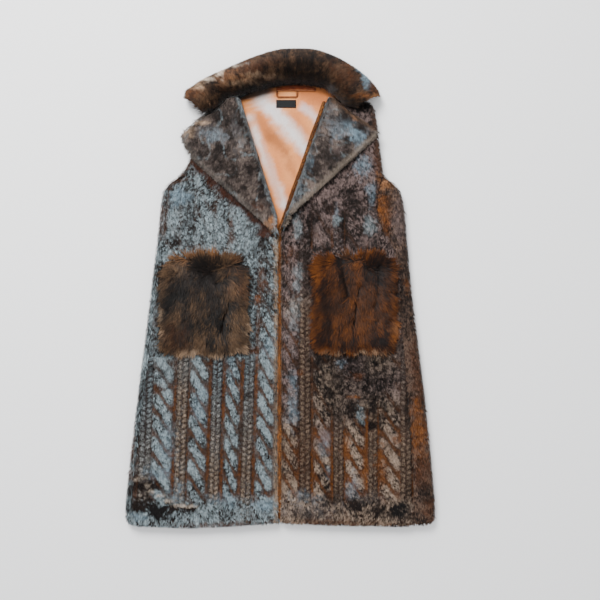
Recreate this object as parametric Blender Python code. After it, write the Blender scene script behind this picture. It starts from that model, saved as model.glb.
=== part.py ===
"""A long faux fur vest with a notched collar and two long-pile pockets, laid flat on its back.

The back's fur lies on the ground at Z = 0 and the fronts face up. The collar points along +Y, and left
and right are as seen from above, so left is at -X. The origin is on the ground in the middle of the box
round the vest. Lengths are metres; the tables hold millimetres, which table() turns into metres.
"""

import bmesh
import bpy
import numpy as np

MM = 0.001
SEAM = 0.0004

# The layers, from the ground up
FUR = 0.0095
LINING_THICKNESS = 0.0016
LINING_BASE = FUR + SEAM
LINING_TOP = LINING_BASE + LINING_THICKNESS
LINING_NECK = 0.3945
FRONT_BASE = LINING_TOP + SEAM
FRONT_TOP = FRONT_BASE + FUR
LAPEL_BASE = FRONT_TOP + SEAM
COLLAR_THICKNESS = 0.0125
COLLAR_EDGE = 0.0050

# The roll of the back panel round each side: half the height of the folded garment
ROLL = FRONT_TOP / 2
LEAST_FLAP = 0.0004
ARMHOLE_FOOT = 0.214
ARMHOLE_RIM = 0.004
ROLL_STEPS = 6

# The hem
HEM_Y = -0.456
HEM_CORNER = 0.016
HEM_BEND_REACH = 0.07
EDGE_STEPS = np.array([0, 0.0025, 0.008])
EDGE_FULLNESS = np.array([0.5, 0.85, 1.0])

# Where the fronts' edges meet at the middle
FRONT_EDGE = {"left": -0.0057, "right": 0.0030}
BREAK_STEP = 0.002

# The lapels' thickness, as shares of it from the free edge to the fold, and the nose beyond the fold
LAPEL_THICKNESS = 0.0115
LAPEL_ACROSS = np.array([0, 0.06, 0.2, 0.4, 0.6, 0.8, 0.93])
LAPEL_SWELL = np.array([0.42, 0.85, 1, 1.02, 1, 1.05, 1.08])
NOSE = 0.007
NOSE_SHARE = 0.5
NOSE_OUT = np.array([0.75, 0.15, 0])
NOSE_HEIGHT = np.array([1, 0.4])
NOSE_BACKING = np.array([0.8, 0.9, 1])

# The cables pressed into the fronts' pile
ROPE_PITCH = 0.042
ROPE_HEIGHT = 0.0034
ROPE_TWIST = 0.8
BRAID_HEIGHT = 0.0026
GUTTER_DEPTH = 0.0012
ROWS_PER_PITCH = 4
FINE_ROWS_TOP = 0.08
CABLE_ROW = -0.327
LEFT_SLANT = 0.033
PLAIN_MARGIN = 0.016
FADE = 0.012
SQUEEZE = 0.0006
NARROW = 0.05
SHOULDER_PLAIN = 0.3
ROPE_FLOOR = 0.3

# Long-pile pockets: the share of the thickness at the edge, and how the sides bow and the tufts rise
POCKET_THICKNESS = 0.0145
POCKET_EDGE = 0.35
POCKET_POINTS = 13
POCKET_BOW_X = 0.09
POCKET_BOW_Y = 0.07
POCKET_TUFTS = 0.06

# Small pieces at the back neck
BAND = {"middle": 0.0304, "half_length": 0.038, "foot": 0.3765, "top": 0.3872, "drop": 0.0052}
BAND_THICKNESS = 0.0045
LOOP = {"left": -0.0074, "right": 0.0345, "top": 0.3761, "foot": 0.3630, "corner": 0.0055}
TAPE_WIDTH = 0.0036
TAPE_THICKNESS = 0.0016
LABEL = {"left": -0.0076, "right": 0.0304, "foot": 0.3445, "top": 0.3597}
LABEL_THICKNESS = 0.0012
RIM_STEPS = np.array([0, 0.06, 0.5, 0.94, 1])
RIM_FULLNESS = 0.6
TAPE_RIM_FULLNESS = 0.7

# The facing's strip, by distance from the front's edge
FACING_THICKNESS = 0.006
FACING_ACROSS = np.array([-0.0055, -0.004, -0.001, 0])
FACING_FULLNESS = np.array([0.55, 1, 1, 0.8])
FACING_TOP = 0.356


def table(names, *rows):
    """A table of named columns: rows of millimetres become one array of metres for each name."""
    return dict(zip(names.split(), np.array(rows, float).T * MM))


# The outline of the laid vest, from hem to neck, and how far the back panel wraps onto the front face
OUTLINE = table(
    "y left right wrap_left wrap_right",
    (-456.0, -296.4, 296.4, 12, 40),
    (-410.0, -296.4, 296.4, 12, 41),
    (-304.0, -285.0, 286.9, 12, 35),
    (-212.8, -273.6, 277.4, 12, 32),
    (-121.6, -262.2, 266.0, 12, 29),
    (-30.4, -250.8, 254.6, 12, 26),
    (35.0, -242.6, 247.8, 12, 20),
    (74.0, -237.9, 244.5, 12, 26),
    (112.0, -233.8, 241.2, 12, 42),
    (152.0, -229.5, 237.5, 12, 52),
    (182.4, -226.1, 231.8, 12, 44),
    (197.6, -216.0, 220.4, 12, 28),
    (205.0, -206.0, 210.0, 12, 14),
    (213.0, -193.8, 199.5, 0, 0),
    (217.0, -190.5, 197.6, 0, 0),
    (243.2, -173.5, 194.0, 0, 0),
    (290.0, -160.0, 188.0, 0, 0),
    (338.0, -142.5, 182.0, 0, 0),
    (349.6, -118.0, 180.5, 0, 0),
    (370.0, -74.0, 128.0, 0, 0),
    (396.0, -28.0, 80.0, 0, 0),
)

# How far the hem lies above its lowest line
HEM = table(
    "x rise",
    (-296, 5),
    (-180, 0),
    (-80, 4),
    (-6, 10),
    (4, 10),
    (100, 5),
    (230, 3.5),
    (296, 6),
)

# The lapels' free edges, from the break point up to the collar seam
LAPEL_LEFT = table(
    "y outer",
    (104.5, -8.6),
    (117.8, -20.1),
    (138.7, -43.3),
    (167.2, -74.9),
    (195.7, -106.4),
    (224.2, -137.8),
    (250.8, -167.2),
    (269.8, -178.6),
    (288.8, -185.3),
    (301.0, -176.0),
    (319.2, -154.5),
    (327.0, -143.5),
    (334.4, -125.4),
    (345.8, -113.6),
    (361.0, -96.9),
)
LAPEL_RIGHT = table(
    "y outer",
    (116.0, 7.6),
    (142.5, 20.9),
    (167.2, 47.5),
    (195.7, 78.0),
    (224.2, 108.7),
    (250.8, 137.2),
    (269.8, 157.7),
    (286.0, 175.5),
    (294.5, 184.3),
    (304.0, 171.0),
    (319.2, 151.0),
    (334.4, 131.0),
    (345.8, 116.5),
    (361.0, 98.0),
)

# The roll lines, where the lapels turn back: straight but for a bend near the left break point
ROLL_LEFT = table("y x", (104.5, -4.6), (138.7, -4.6), (361.0, -74.3))
ROLL_RIGHT = table("y x", (116.0, 3.6), (361.0, 88.7))

# The collar: its neck edge, its free edge, its height over the ground at each, and its rise between them
COLLAR = table(
    "neck_x neck_y free_x free_y neck_z free_z rise",
    (-146.3, 331.4, -178.6, 362.9, 21.9, 12, 8),
    (-127.3, 337.6, -177.7, 374.3, 21.9, 9, 11),
    (-112.1, 349.3, -169.1, 381.0, 21.9, 6, 13),
    (-96.9, 364.0, -150.1, 395.2, 21.9, 2, 16),
    (-70.3, 368.5, -119.7, 410.4, 21.9, 0, 19),
    (-41.8, 375.6, -83.6, 426.4, 18, 0, 24),
    (-15.2, 383.8, -41.8, 443.1, 12, 0, 28),
    (9.5, 387.9, -1.9, 454.2, 12, 0, 30),
    (32.3, 388.9, 32.3, 456.0, 12, 0, 30),
    (53.2, 387.9, 66.5, 454.2, 12, 0, 30),
    (72.2, 384.8, 102.6, 441.8, 14, 0, 28),
    (85.5, 379.5, 133.0, 425.6, 20, 0, 23),
    (95.5, 369.5, 155.8, 410.4, 21.9, 0, 19),
    (109.3, 358.3, 172.9, 393.3, 21.9, 3, 15),
    (120.7, 348.8, 183.4, 378.1, 21.9, 8, 11),
    (138.8, 343.9, 188.1, 366.7, 21.9, 12, 8),
)
COLLAR_ACROSS = np.array([0, 0.035, 0.1, 0.2, 0.32, 0.46, 0.6, 0.74, 0.86, 0.95, 1])
COLLAR_SECTIONS = 27

# The cable columns where they cross CABLE_ROW
LEFT_ROPES = table("start end", (-245.1, -209), (-174.8, -142.5), (-106.4, -81.7), (-45.6, -16))
LEFT_BRAIDS = table("start end", (-267.9, -247), (-199.5, -180.5), (-133, -115.9), (-72.2, -55.1))
RIGHT_ROPES = table("start end", (4, 33.3), (64.6, 95), (125.4, 159.6), (190, 228))
RIGHT_BRAIDS = table("start end", (38, 57), (102.6, 119.7), (169.1, 184.3), (229.9, 248.9))
ROPE_ACROSS = np.array([-1, -0.6, 0, 0.6, 1])
BRAID_ACROSS = np.array([-1, 0, 1])

# The pockets: middle, half sizes, and how much narrower the top is than the foot
POCKETS = table(
    "x y half_width half_height taper",
    (-144.6, -29.5, 84.0, 94.0, 5.0),
    (141.6, -28.5, 77.5, 93.0, 1.0),
)


def material(name, colour, roughness):
    """A plain Principled finish."""
    made = bpy.data.materials.new(name)
    made.use_nodes = True
    shader = made.node_tree.nodes["Principled BSDF"]
    shader.inputs["Base Color"].default_value = (*colour, 1)
    shader.inputs["Roughness"].default_value = roughness
    shader.inputs["Metallic"].default_value = 0
    return made


def solid(name, points, faces, finish):
    """A named object from points and faces, with its normals turned outwards and smooth shading."""
    mesh = bpy.data.meshes.new(name)
    mesh.from_pydata([tuple(p) for p in points], [], faces)
    shape = bmesh.new()
    shape.from_mesh(mesh)
    bmesh.ops.recalc_face_normals(shape, faces=shape.faces)
    shape.to_mesh(mesh)
    shape.free()
    mesh.materials.append(finish)
    mesh.shade_smooth()
    made = bpy.data.objects.new(name, mesh)
    bpy.context.scene.collection.objects.link(made)
    return made


def quads(numbers):
    """The four-sided faces of a grid of point numbers."""
    a, b, c, d = numbers[:-1, :-1], numbers[:-1, 1:], numbers[1:, 1:], numbers[1:, :-1]
    return np.stack([a, b, c, d], axis=-1).reshape(-1, 4).tolist()


def wall(name, outer, inner, finish):
    """A closed wall between two grids of points of the same shape, joined along their four edges."""
    rows, columns = outer.shape[:2]
    outside = np.arange(rows * columns).reshape(rows, columns)
    inside = outside + rows * columns
    faces = quads(outside) + quads(inside)
    for side in (np.s_[0, :], np.s_[-1, :], np.s_[:, 0], np.s_[:, -1]):
        faces += quads(np.stack([outside[side], inside[side]]))
    points = np.concatenate([outer.reshape(-1, 3), inner.reshape(-1, 3)])
    return solid(name, points, faces, finish)


def panel(name, top, base, finish):
    """A closed panel: a grid of top points, upright edges, and a flat underside at the height base.

    The underside is a ladder of faces from the left edge to the right edge of each row."""
    rows, columns = top.shape[:2]
    grid = np.arange(rows * columns).reshape(rows, columns)
    rim = np.concatenate([grid[0, :], grid[1:, -1], grid[-1, -2::-1], grid[-2:0:-1, 0]])
    below = top.reshape(-1, 3)[rim].copy()
    below[:, 2] = base
    lower = dict(zip(rim.tolist(), range(rows * columns, rows * columns + len(rim))))
    faces = quads(grid)
    around = np.append(rim, rim[0]).tolist()
    faces += [[a, b, lower[b], lower[a]] for a, b in zip(around, around[1:])]
    for row in range(rows - 1):
        near = grid[row].tolist() if row == 0 else [grid[row, 0], grid[row, -1]]
        far = grid[row + 1].tolist() if row == rows - 2 else [grid[row + 1, 0], grid[row + 1, -1]]
        faces.append([lower[int(n)] for n in near + far[::-1]])
    return solid(name, np.concatenate([top.reshape(-1, 3), below]), faces, finish)


def smooth(row_values, count):
    """The rows of a table read at more places, on a Catmull-Rom curve through them."""
    places = np.linspace(0, len(row_values) - 1, count)
    first = np.minimum(places.astype(int), len(row_values) - 2)
    part = (places - first)[:, None]
    padded = np.concatenate(
        [2 * row_values[:1] - row_values[1:2], row_values, 2 * row_values[-1:] - row_values[-2:-1]]
    )
    p0, p1, p2, p3 = (padded[first + k] for k in range(4))
    return 0.5 * (
        2 * p1
        + (p2 - p0) * part
        + (2 * p0 - 5 * p1 + 4 * p2 - p3) * part**2
        + (3 * p1 - p0 - 3 * p2 + p3) * part**3
    )


def at(which, column, y):
    """A column of a table at height y, straight between its rows."""
    return np.interp(y, which["y"], which[column])


def roll_line(side, y):
    """The x of a lapel's roll line at height y; side is -1 for the left and 1 for the right."""
    line = ROLL_LEFT if side < 0 else ROLL_RIGHT
    return np.interp(y, line["y"], line["x"])


def hem_bend(x, y):
    """How far the hem's own curve lifts a point: all of it at the hem, none at HEM_BEND_REACH above."""
    share = np.clip(1 - (y - HEM_Y) / HEM_BEND_REACH, 0, 1)
    return share * np.interp(x, HEM["x"], HEM["rise"])


def hem_inset(y):
    """How far the round hem corners draw the sides in: a quarter circle of radius HEM_CORNER."""
    short = np.clip(HEM_CORNER - (y - HEM_Y), 0, HEM_CORNER)
    return HEM_CORNER - np.sqrt(HEM_CORNER**2 - short**2)


def hem_fullness(y):
    """The share of the thickness that is left near the hem's rounded edge."""
    return np.interp(y - HEM_Y, EDGE_STEPS, EDGE_FULLNESS)


def outline_rows():
    """The heights of the back's rows: close together at the hem's round edge, then the outline's own."""
    near_hem = HEM_Y + np.append(EDGE_STEPS, HEM_CORNER)
    return np.concatenate([near_hem, OUTLINE["y"][OUTLINE["y"] > near_hem[-1]]])


def side_roll(wrap, thickness):
    """The back panel's way round a side, as distances in from the edge and heights.

    It turns about the roll's middle: a quarter turn where nothing wraps, and half a turn before the
    flap that runs in over the front face."""
    turn = np.pi / 2 * (1 + min(1, wrap / ROLL))
    angles = np.linspace(0, turn, ROLL_STEPS + 1)
    radius = ROLL - FUR + thickness
    distance = ROLL - radius * np.sin(angles)
    height = ROLL - radius * np.cos(angles)
    flap = max(LEAST_FLAP, wrap - ROLL) * np.array([0.5, 1])
    distance = np.append(distance, distance[-1] - np.cos(turn) * flap)
    height = np.append(height, height[-1] + np.sin(turn) * flap)
    return distance, height


def back_skin(share):
    """One skin of the back panel: share 1 is the fur's face, and share 0 is the backing."""
    skin = []
    for y in outline_rows():
        thickness = FUR * share * hem_fullness(y)
        inset = hem_inset(y)
        left = side_roll(at(OUTLINE, "wrap_left", y), thickness)
        right = side_roll(at(OUTLINE, "wrap_right", y), thickness)
        left_x = at(OUTLINE, "left", y) + inset + left[0]
        right_x = at(OUTLINE, "right", y) - inset - right[0]
        middle_x = np.linspace(left_x[0], right_x[0], 6)[1:-1]
        x = np.concatenate([left_x[::-1], middle_x, right_x])
        z = np.concatenate([left[1][::-1], np.full(4, left[1][0]), right[1]])
        skin.append(np.stack([x, y + hem_bend(x, y), z], axis=-1))
    return np.array(skin)


def build_back(finish):
    """The back panel, whose fur lies on the ground and wraps round both sides to the side seams."""
    return wall("back", back_skin(1), back_skin(0), finish)


def seam_inset(side, y):
    """How far in from the vest's edge the back panel's wrapped flap ends, with a seam's gap."""
    return np.maximum(at(OUTLINE, "wrap_" + side, y), ROLL + SEAM) + SEAM


def build_lining(finish):
    """The lining, one sheet on the back's backing, seen in the V of the neck."""
    inner = OUTLINE["y"][(OUTLINE["y"] > HEM_Y + 2 * HEM_CORNER) & (OUTLINE["y"] < LINING_NECK)]
    y = np.concatenate([[HEM_Y + 2 * HEM_CORNER], inner, [LINING_NECK]])[:, None]
    left = at(OUTLINE, "left", y) + seam_inset("left", y)
    right = at(OUTLINE, "right", y) - seam_inset("right", y)
    x = left + (right - left) * np.linspace(0, 1, 7)
    top = np.stack([x, y + hem_bend(x, y), np.full_like(x, LINING_TOP)], axis=-1)
    return panel("lining", top, LINING_BASE, finish)


def lapel_plain(x, y, lapel, side):
    """1 where a lapel, or PLAIN_MARGIN round it, presses the cables flat, fading to 0 outside."""
    reach = at(lapel, "outer", y) * side + PLAIN_MARGIN
    beyond = np.clip((x * side - reach) / FADE, 0, 1)
    below = np.clip((lapel["y"][0] - PLAIN_MARGIN - y) / FADE, 0, 1)
    return 1 - np.maximum(beyond, below)


def pocket_plain(x, y, number):
    """1 under a pocket and PLAIN_MARGIN round it, fading to 0 outside."""
    beyond_x = np.abs(x - POCKETS["x"][number]) - POCKETS["half_width"][number]
    beyond_y = np.abs(y - POCKETS["y"][number]) - POCKETS["half_height"][number]
    return 1 - np.clip((np.maximum(beyond_x, beyond_y) - PLAIN_MARGIN) / FADE, 0, 1)


def rope(u, y):
    """Height of a two-strand rope, up to 1: lobes ROPE_PITCH apart that slant down to the right.

    u runs from -1 to 1 across it. The lobes are the humps of a sine along y, shifted by a sine of u."""
    lobes = np.abs(np.sin(np.pi * (y / ROPE_PITCH + ROPE_TWIST / 2 * np.sin(np.pi / 2 * u))))
    return (ROPE_FLOOR + (1 - ROPE_FLOOR) * lobes) * (1 - u**4)


def front_relief(x, y, ropes, braids, slant):
    """Height of the cables: ropes, plain round ribs for the braids, and gutters between them."""
    column = x - slant * (y - CABLE_ROW)
    height = np.full_like(x, -GUTTER_DEPTH)
    for start, end in zip(ropes["start"], ropes["end"]):
        u = (2 * column - start - end) / (end - start)
        height = np.where(np.abs(u) < 1, np.maximum(height, ROPE_HEIGHT * rope(u, y)), height)
    for start, end in zip(braids["start"], braids["end"]):
        u = (2 * column - start - end) / (end - start)
        height = np.where(np.abs(u) < 1, np.maximum(height, BRAID_HEIGHT * (1 - u**2)), height)
    return height


def front_rows(lapel):
    """The heights of a front's rows: ROWS_PER_PITCH to a rope's lobe, and every row of its neighbours."""
    step = ROPE_PITCH / ROWS_PER_PITCH
    fine = np.arange(np.ceil((HEM_Y + HEM_CORNER) / step), np.floor(FINE_ROWS_TOP / step)) * step
    coarse = np.arange(FINE_ROWS_TOP, lapel["y"][-1], 2 * step)
    break_rows = [lapel["y"][0] - BREAK_STEP, *lapel["y"][[0, 2]]]
    shared = np.concatenate([outline_rows(), break_rows, lapel["y"][-1:]])
    shared = np.unique(shared[shared <= lapel["y"][-1]])
    clear = [y for y in np.append(fine, coarse) if np.abs(shared - y).min() > step / 2]
    return np.sort(np.concatenate([shared, clear]))


def cable_columns(ropes, braids):
    """The x of the grid's columns at CABLE_ROW: across each rope and each braid."""
    middles = [((s + e) / 2, (e - s) / 2, ROPE_ACROSS) for s, e in zip(ropes["start"], ropes["end"])]
    middles += [((s + e) / 2, (e - s) / 2, BRAID_ACROSS) for s, e in zip(braids["start"], braids["end"])]
    return np.sort(np.concatenate([middle + half * across for middle, half, across in middles]))


def row_across(columns, low, high):
    """The x of a row's points: steps in from both edges, and the columns kept between them.

    Columns that crowd an edge stay SQUEEZE apart, and a row under NARROW wide takes smaller steps."""
    scale = min(1, (high - low) / NARROW)
    edge = EDGE_STEPS * scale
    gap = SQUEEZE * scale
    order = np.arange(len(columns))
    columns = np.maximum(columns, low + edge[-1] + gap * (order + 1))
    columns = np.minimum(columns, high - edge[-1] - gap * (len(columns) - order))
    return np.concatenate([low + edge, columns, high - edge[::-1]])


def build_front(name, lapel, ropes, braids, slant, side, number, finish):
    """A front: its side seam and armhole on one side, its front edge and roll line on the other."""
    side_name = "left" if side < 0 else "right"
    top = []
    for y in front_rows(lapel):
        clear = seam_inset(side_name, y) if y < ARMHOLE_FOOT else ARMHOLE_RIM
        outer = at(OUTLINE, side_name, y) - side * (clear + hem_inset(y))
        rolled = roll_line(side, y) + side * (NOSE + 2 * SEAM)
        inner = rolled if y >= lapel["y"][0] else FRONT_EDGE[side_name]
        low, high = (outer, inner) if side < 0 else (inner, outer)
        x = row_across(cable_columns(ropes, braids) + slant * (y - CABLE_ROW), low, high)
        plain = np.maximum(lapel_plain(x, y, lapel, side), pocket_plain(x, y, number))
        plain = np.maximum(plain, np.clip((y - SHOULDER_PLAIN) / FADE, 0, 1))
        fullness = np.interp(np.minimum(x - low, high - x), EDGE_STEPS, EDGE_FULLNESS)
        fullness = fullness * hem_fullness(y)
        relief = front_relief(x, np.full_like(x, y), ropes, braids, slant) * (1 - plain)
        z = FRONT_BASE + (FUR + relief) * fullness
        top.append(np.stack([x, y + hem_bend(x, y), z], axis=-1))
    return panel(name, np.array(top), FRONT_BASE, finish)


def build_lapel(name, lapel, side, finish):
    """A lapel: a leaf on its front whose roll edge turns down over the front's edge to the lining.

    The nose beyond the fold is NOSE wide, and at most NOSE_SHARE of the lapel near the break point."""
    free, roll = lapel["outer"][:, None], roll_line(side, lapel["y"])[:, None]
    nose = side * np.minimum(NOSE, NOSE_SHARE * np.abs(free - roll))
    leaf = free + (roll + nose - free) * LAPEL_ACROSS
    outer_x = np.concatenate([leaf, roll + nose * NOSE_OUT], axis=1)
    inner_x = np.concatenate([leaf, roll + nose * NOSE_BACKING], axis=1)
    y = np.repeat(lapel["y"][:, None], outer_x.shape[1], axis=1)
    top = LAPEL_BASE + LAPEL_THICKNESS * LAPEL_SWELL
    nose_z = np.append(LAPEL_BASE + LAPEL_THICKNESS * NOSE_HEIGHT, FRONT_BASE)
    backing_z = np.linspace(LAPEL_BASE, FRONT_BASE, len(NOSE_BACKING))
    outer_z = np.append(top, nose_z) + 0 * y
    inner_z = np.append(np.full_like(top, LAPEL_BASE), backing_z) + 0 * y
    outer = np.stack([outer_x, y, outer_z], axis=-1)
    inner = np.stack([inner_x, y, inner_z], axis=-1)
    return wall(name, outer, inner, finish)


def build_collar(finish):
    """The collar: an arch of deep fur from the neck seam over to its free edge on the ground.

    Each section's underside runs from neck to free edge on half a sine, and the upper skin lies square
    to it at the collar's thickness, drawing closer at both edges."""
    names = "neck_x neck_y free_x free_y neck_z free_z rise".split()
    rows = smooth(np.stack([COLLAR[name] for name in names], axis=-1), COLLAR_SECTIONS)
    neck, free = rows[:, 0:2], rows[:, 2:4]
    length = np.linalg.norm(free - neck, axis=1)[:, None]
    outward = (free - neck) / length
    t = COLLAR_ACROSS[None, :]
    run = COLLAR_EDGE + (length - 2 * COLLAR_EDGE) * t
    height = rows[:, 4:5] * (1 - t) + rows[:, 5:6] * t + rows[:, 6:7] * np.sin(np.pi * t**0.85)
    slope_run, slope_height = np.gradient(run, axis=1), np.gradient(height, axis=1)
    size = np.hypot(slope_run, slope_height)
    thickness = COLLAR_THICKNESS * (1 - 0.5 * np.abs(2 * t - 1) ** 6)
    skins = []
    for depth in (thickness, 0):
        along = run - depth * slope_height / size
        z = np.maximum(height, 0) + depth * slope_run / size
        xy = neck[:, None, :] + outward[:, None, :] * along[:, :, None]
        skins.append(np.concatenate([xy, z[:, :, None]], axis=-1))
    return wall("collar", skins[0], skins[1], finish)


def build_pocket(name, number, finish):
    """A patch pocket of long pile: a soft pad with bowed sides and round corners on its front."""
    steps = np.sin(np.pi / 2 * np.linspace(-1, 1, POCKET_POINTS))
    u, v = np.meshgrid(steps, steps)
    width = POCKETS["half_width"][number] - POCKETS["taper"][number] * (v + 1) / 2
    x = POCKETS["x"][number] + width * u * (1 - POCKET_BOW_X * v**6)
    y = POCKETS["y"][number] + POCKETS["half_height"][number] * v * (1 - POCKET_BOW_Y * u**6)
    crown = (1 - np.abs(u) ** 7) * (1 - np.abs(v) ** 7)
    tufts = POCKET_TUFTS * np.sin(5 * u + 2 * v) * np.cos(4 * v - u)
    height = POCKET_EDGE + (1 - POCKET_EDGE) * crown * (1 + tufts)
    top = np.stack([x, y, LAPEL_BASE + POCKET_THICKNESS * height], axis=-1)
    return panel(name, top, LAPEL_BASE, finish)


def build_facing(finish):
    """The facing's edge: a narrow strip beside the right front, up its roll line to the neck."""
    straight = np.linspace(HEM_Y + EDGE_STEPS[-1], LAPEL_RIGHT["y"][0], 4)
    y = np.minimum(np.append(straight, LAPEL_RIGHT["y"][1:]), FACING_TOP)
    roll = roll_line(1, y)
    right = np.where(y > LAPEL_RIGHT["y"][0], roll, np.minimum(roll, FRONT_EDGE["right"])) - 2 * SEAM
    x = right[:, None] + FACING_ACROSS
    z = FRONT_BASE + FACING_THICKNESS * FACING_FULLNESS + 0 * x
    rows = y[:, None] + hem_bend(x, y[:, None])
    return panel("facing_right", np.stack([x, rows, z], axis=-1), FRONT_BASE, finish)


def build_label(finish):
    """The label: a small woven piece on the lining with softly rounded edges."""
    x = LABEL["left"] + (LABEL["right"] - LABEL["left"]) * RIM_STEPS
    y = LABEL["foot"] + (LABEL["top"] - LABEL["foot"]) * RIM_STEPS
    x, y = np.meshgrid(x, y)
    inside = np.minimum(RIM_STEPS, 1 - RIM_STEPS) > 0
    full = np.where(inside[:, None] & inside[None, :], 1, RIM_FULLNESS)
    top = np.stack([x, y, FRONT_BASE + LABEL_THICKNESS * full], axis=-1)
    return panel("label", top, FRONT_BASE, finish)


def build_band(finish):
    """The neck band: a strip on the lining whose upper edge follows the collar's neck curve."""
    across = np.linspace(-1, 1, 9)
    steps = RIM_STEPS[:, None]
    x = BAND["middle"] + BAND["half_length"] * across
    height = BAND["top"] - BAND["foot"] - BAND["drop"] * across**2
    y = BAND["foot"] + height * steps
    inside = (np.abs(across) < 1) & (np.minimum(steps, 1 - steps) > 0)
    full = np.where(inside, 1, RIM_FULLNESS)
    top = np.stack([x + 0 * y, y, FRONT_BASE + BAND_THICKNESS * full], axis=-1)
    return panel("neck_band", top, FRONT_BASE, finish)


def build_loop(finish):
    """The hanger loop: a flat tape in a long U that hangs from the neck band."""
    turn = np.linspace(0, np.pi / 2, 5)
    lanes = []
    lane_rows = ((0, TAPE_RIM_FULLNESS), (TAPE_WIDTH / 2, 1), (TAPE_WIDTH, TAPE_RIM_FULLNESS))
    for inset, full in lane_rows:
        radius = LOOP["corner"] - inset
        sides = []
        for side, edge in ((-1, LOOP["left"]), (1, LOOP["right"])):
            middle = edge - side * LOOP["corner"]
            arc_x = middle + side * radius * np.cos(turn)
            arc_y = LOOP["foot"] + LOOP["corner"] - radius * np.sin(turn)
            leg = np.array([[edge - side * inset, LOOP["top"]]])
            sides.append(np.concatenate([leg, np.stack([arc_x, arc_y], axis=-1)]))
        path = np.concatenate([sides[0], sides[1][::-1]])
        height = np.full((len(path), 1), FRONT_BASE + TAPE_THICKNESS * full)
        lanes.append(np.concatenate([path, height], axis=1))
    return panel("hanger_loop", np.stack(lanes, axis=1), FRONT_BASE, finish)


def main():
    for found in list(bpy.data.objects):
        bpy.data.objects.remove(found)
    short_pile = material("short_pile", (0.16, 0.13, 0.12), 0.85)
    deep_pile = material("deep_pile", (0.075, 0.05, 0.04), 0.85)
    long_pile = material("long_pile", (0.13, 0.065, 0.03), 0.8)
    brushed = material("brushed_lining", (0.62, 0.38, 0.24), 0.9)
    rust = material("rust_facing", (0.2, 0.09, 0.04), 0.85)
    chestnut = material("chestnut_band", (0.16, 0.07, 0.035), 0.8)
    tape = material("tan_tape", (0.3, 0.16, 0.08), 0.75)
    woven = material("woven_label", (0.02, 0.02, 0.025), 0.6)
    build_back(short_pile)
    build_lining(brushed)
    build_front("front_left", LAPEL_LEFT, LEFT_ROPES, LEFT_BRAIDS, LEFT_SLANT, -1, 0, short_pile)
    build_front("front_right", LAPEL_RIGHT, RIGHT_ROPES, RIGHT_BRAIDS, 0, 1, 1, short_pile)
    build_lapel("lapel_left", LAPEL_LEFT, -1, deep_pile)
    build_lapel("lapel_right", LAPEL_RIGHT, 1, deep_pile)
    build_collar(deep_pile)
    build_pocket("pocket_left", 0, long_pile)
    build_pocket("pocket_right", 1, long_pile)
    build_facing(rust)
    build_band(chestnut)
    build_label(woven)
    build_loop(tape)


main()
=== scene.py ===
"""The finish of a long faux fur vest laid flat on its back: its cloth, pile, lining, trim and stitching.

+X is to the right and +Y towards the collar, both as seen from above, and the ground is at Z = 0.
Lengths are metres. The tables hold millimetres, which table() and the patch rows turn into metres.
"""

import math

import bpy
import numpy as np
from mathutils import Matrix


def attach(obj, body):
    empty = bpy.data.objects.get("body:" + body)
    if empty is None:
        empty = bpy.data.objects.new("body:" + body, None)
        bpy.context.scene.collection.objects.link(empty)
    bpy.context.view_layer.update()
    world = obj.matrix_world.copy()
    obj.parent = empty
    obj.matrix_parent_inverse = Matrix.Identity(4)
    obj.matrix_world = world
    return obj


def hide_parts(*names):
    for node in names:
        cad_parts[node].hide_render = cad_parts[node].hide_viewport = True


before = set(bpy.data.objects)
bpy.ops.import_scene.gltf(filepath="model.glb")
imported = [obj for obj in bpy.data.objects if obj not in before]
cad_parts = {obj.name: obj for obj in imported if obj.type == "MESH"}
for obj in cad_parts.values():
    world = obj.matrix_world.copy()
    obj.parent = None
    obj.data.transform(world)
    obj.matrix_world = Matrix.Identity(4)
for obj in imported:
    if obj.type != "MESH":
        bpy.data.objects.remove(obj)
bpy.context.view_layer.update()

# The floor, the light and the camera. The vest lies on a plain pale floor under one broad soft light from
# beyond the collar and an even sky, and the camera looks straight down on it.
FLOOR_REACH = 6.0
FLOOR_TONE = (0.93, 0.93, 0.93)
VIEW_MIDDLE = (0.038, -0.0228)
VIEW_WIDTH = 1.14
CLOTH_HEIGHT = 0.022
LENS = 50
SENSOR = 36
LIGHT_PLACE = (-0.7, 1.5, 1.8)
LIGHT_SIZE = 1.0
LIGHT_POWER = 105
SKY_TONE = (0.97, 0.98, 1.0)
SKY_STRENGTH = 1.15


def set_sockets(node, **values):
    """Sets a node's sockets by name, where an underscore stands for a space, and returns the node."""
    for socket, value in values.items():
        node.inputs[socket.replace("_", " ")].default_value = value
    return node


floor_corners = [(x * FLOOR_REACH, y * FLOOR_REACH, -0.0002) for x, y in ((-1, -1), (1, -1), (1, 1), (-1, 1))]
floor_mesh = bpy.data.meshes.new("floor")
floor_mesh.from_pydata(floor_corners, [], [(0, 1, 2, 3)])
floor = bpy.data.objects.new("floor", floor_mesh)
bpy.context.scene.collection.objects.link(floor)
floor_paint = bpy.data.materials.new("floor_paint")
floor_paint.use_nodes = True
set_sockets(floor_paint.node_tree.nodes["Principled BSDF"], Base_Color=(*FLOOR_TONE, 1), Roughness=0.9)
floor_mesh.materials.append(floor_paint)

soft_light = bpy.data.lights.new("soft_light", "AREA")
soft_light.energy = LIGHT_POWER
soft_light.size = LIGHT_SIZE
soft_lamp = bpy.data.objects.new("soft_light", soft_light)
soft_lamp.location = LIGHT_PLACE
light_x, light_y, light_z = LIGHT_PLACE
soft_lamp.rotation_euler = (-math.atan2(light_y, light_z), math.atan2(light_x, light_z), 0)
bpy.context.scene.collection.objects.link(soft_lamp)

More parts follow.
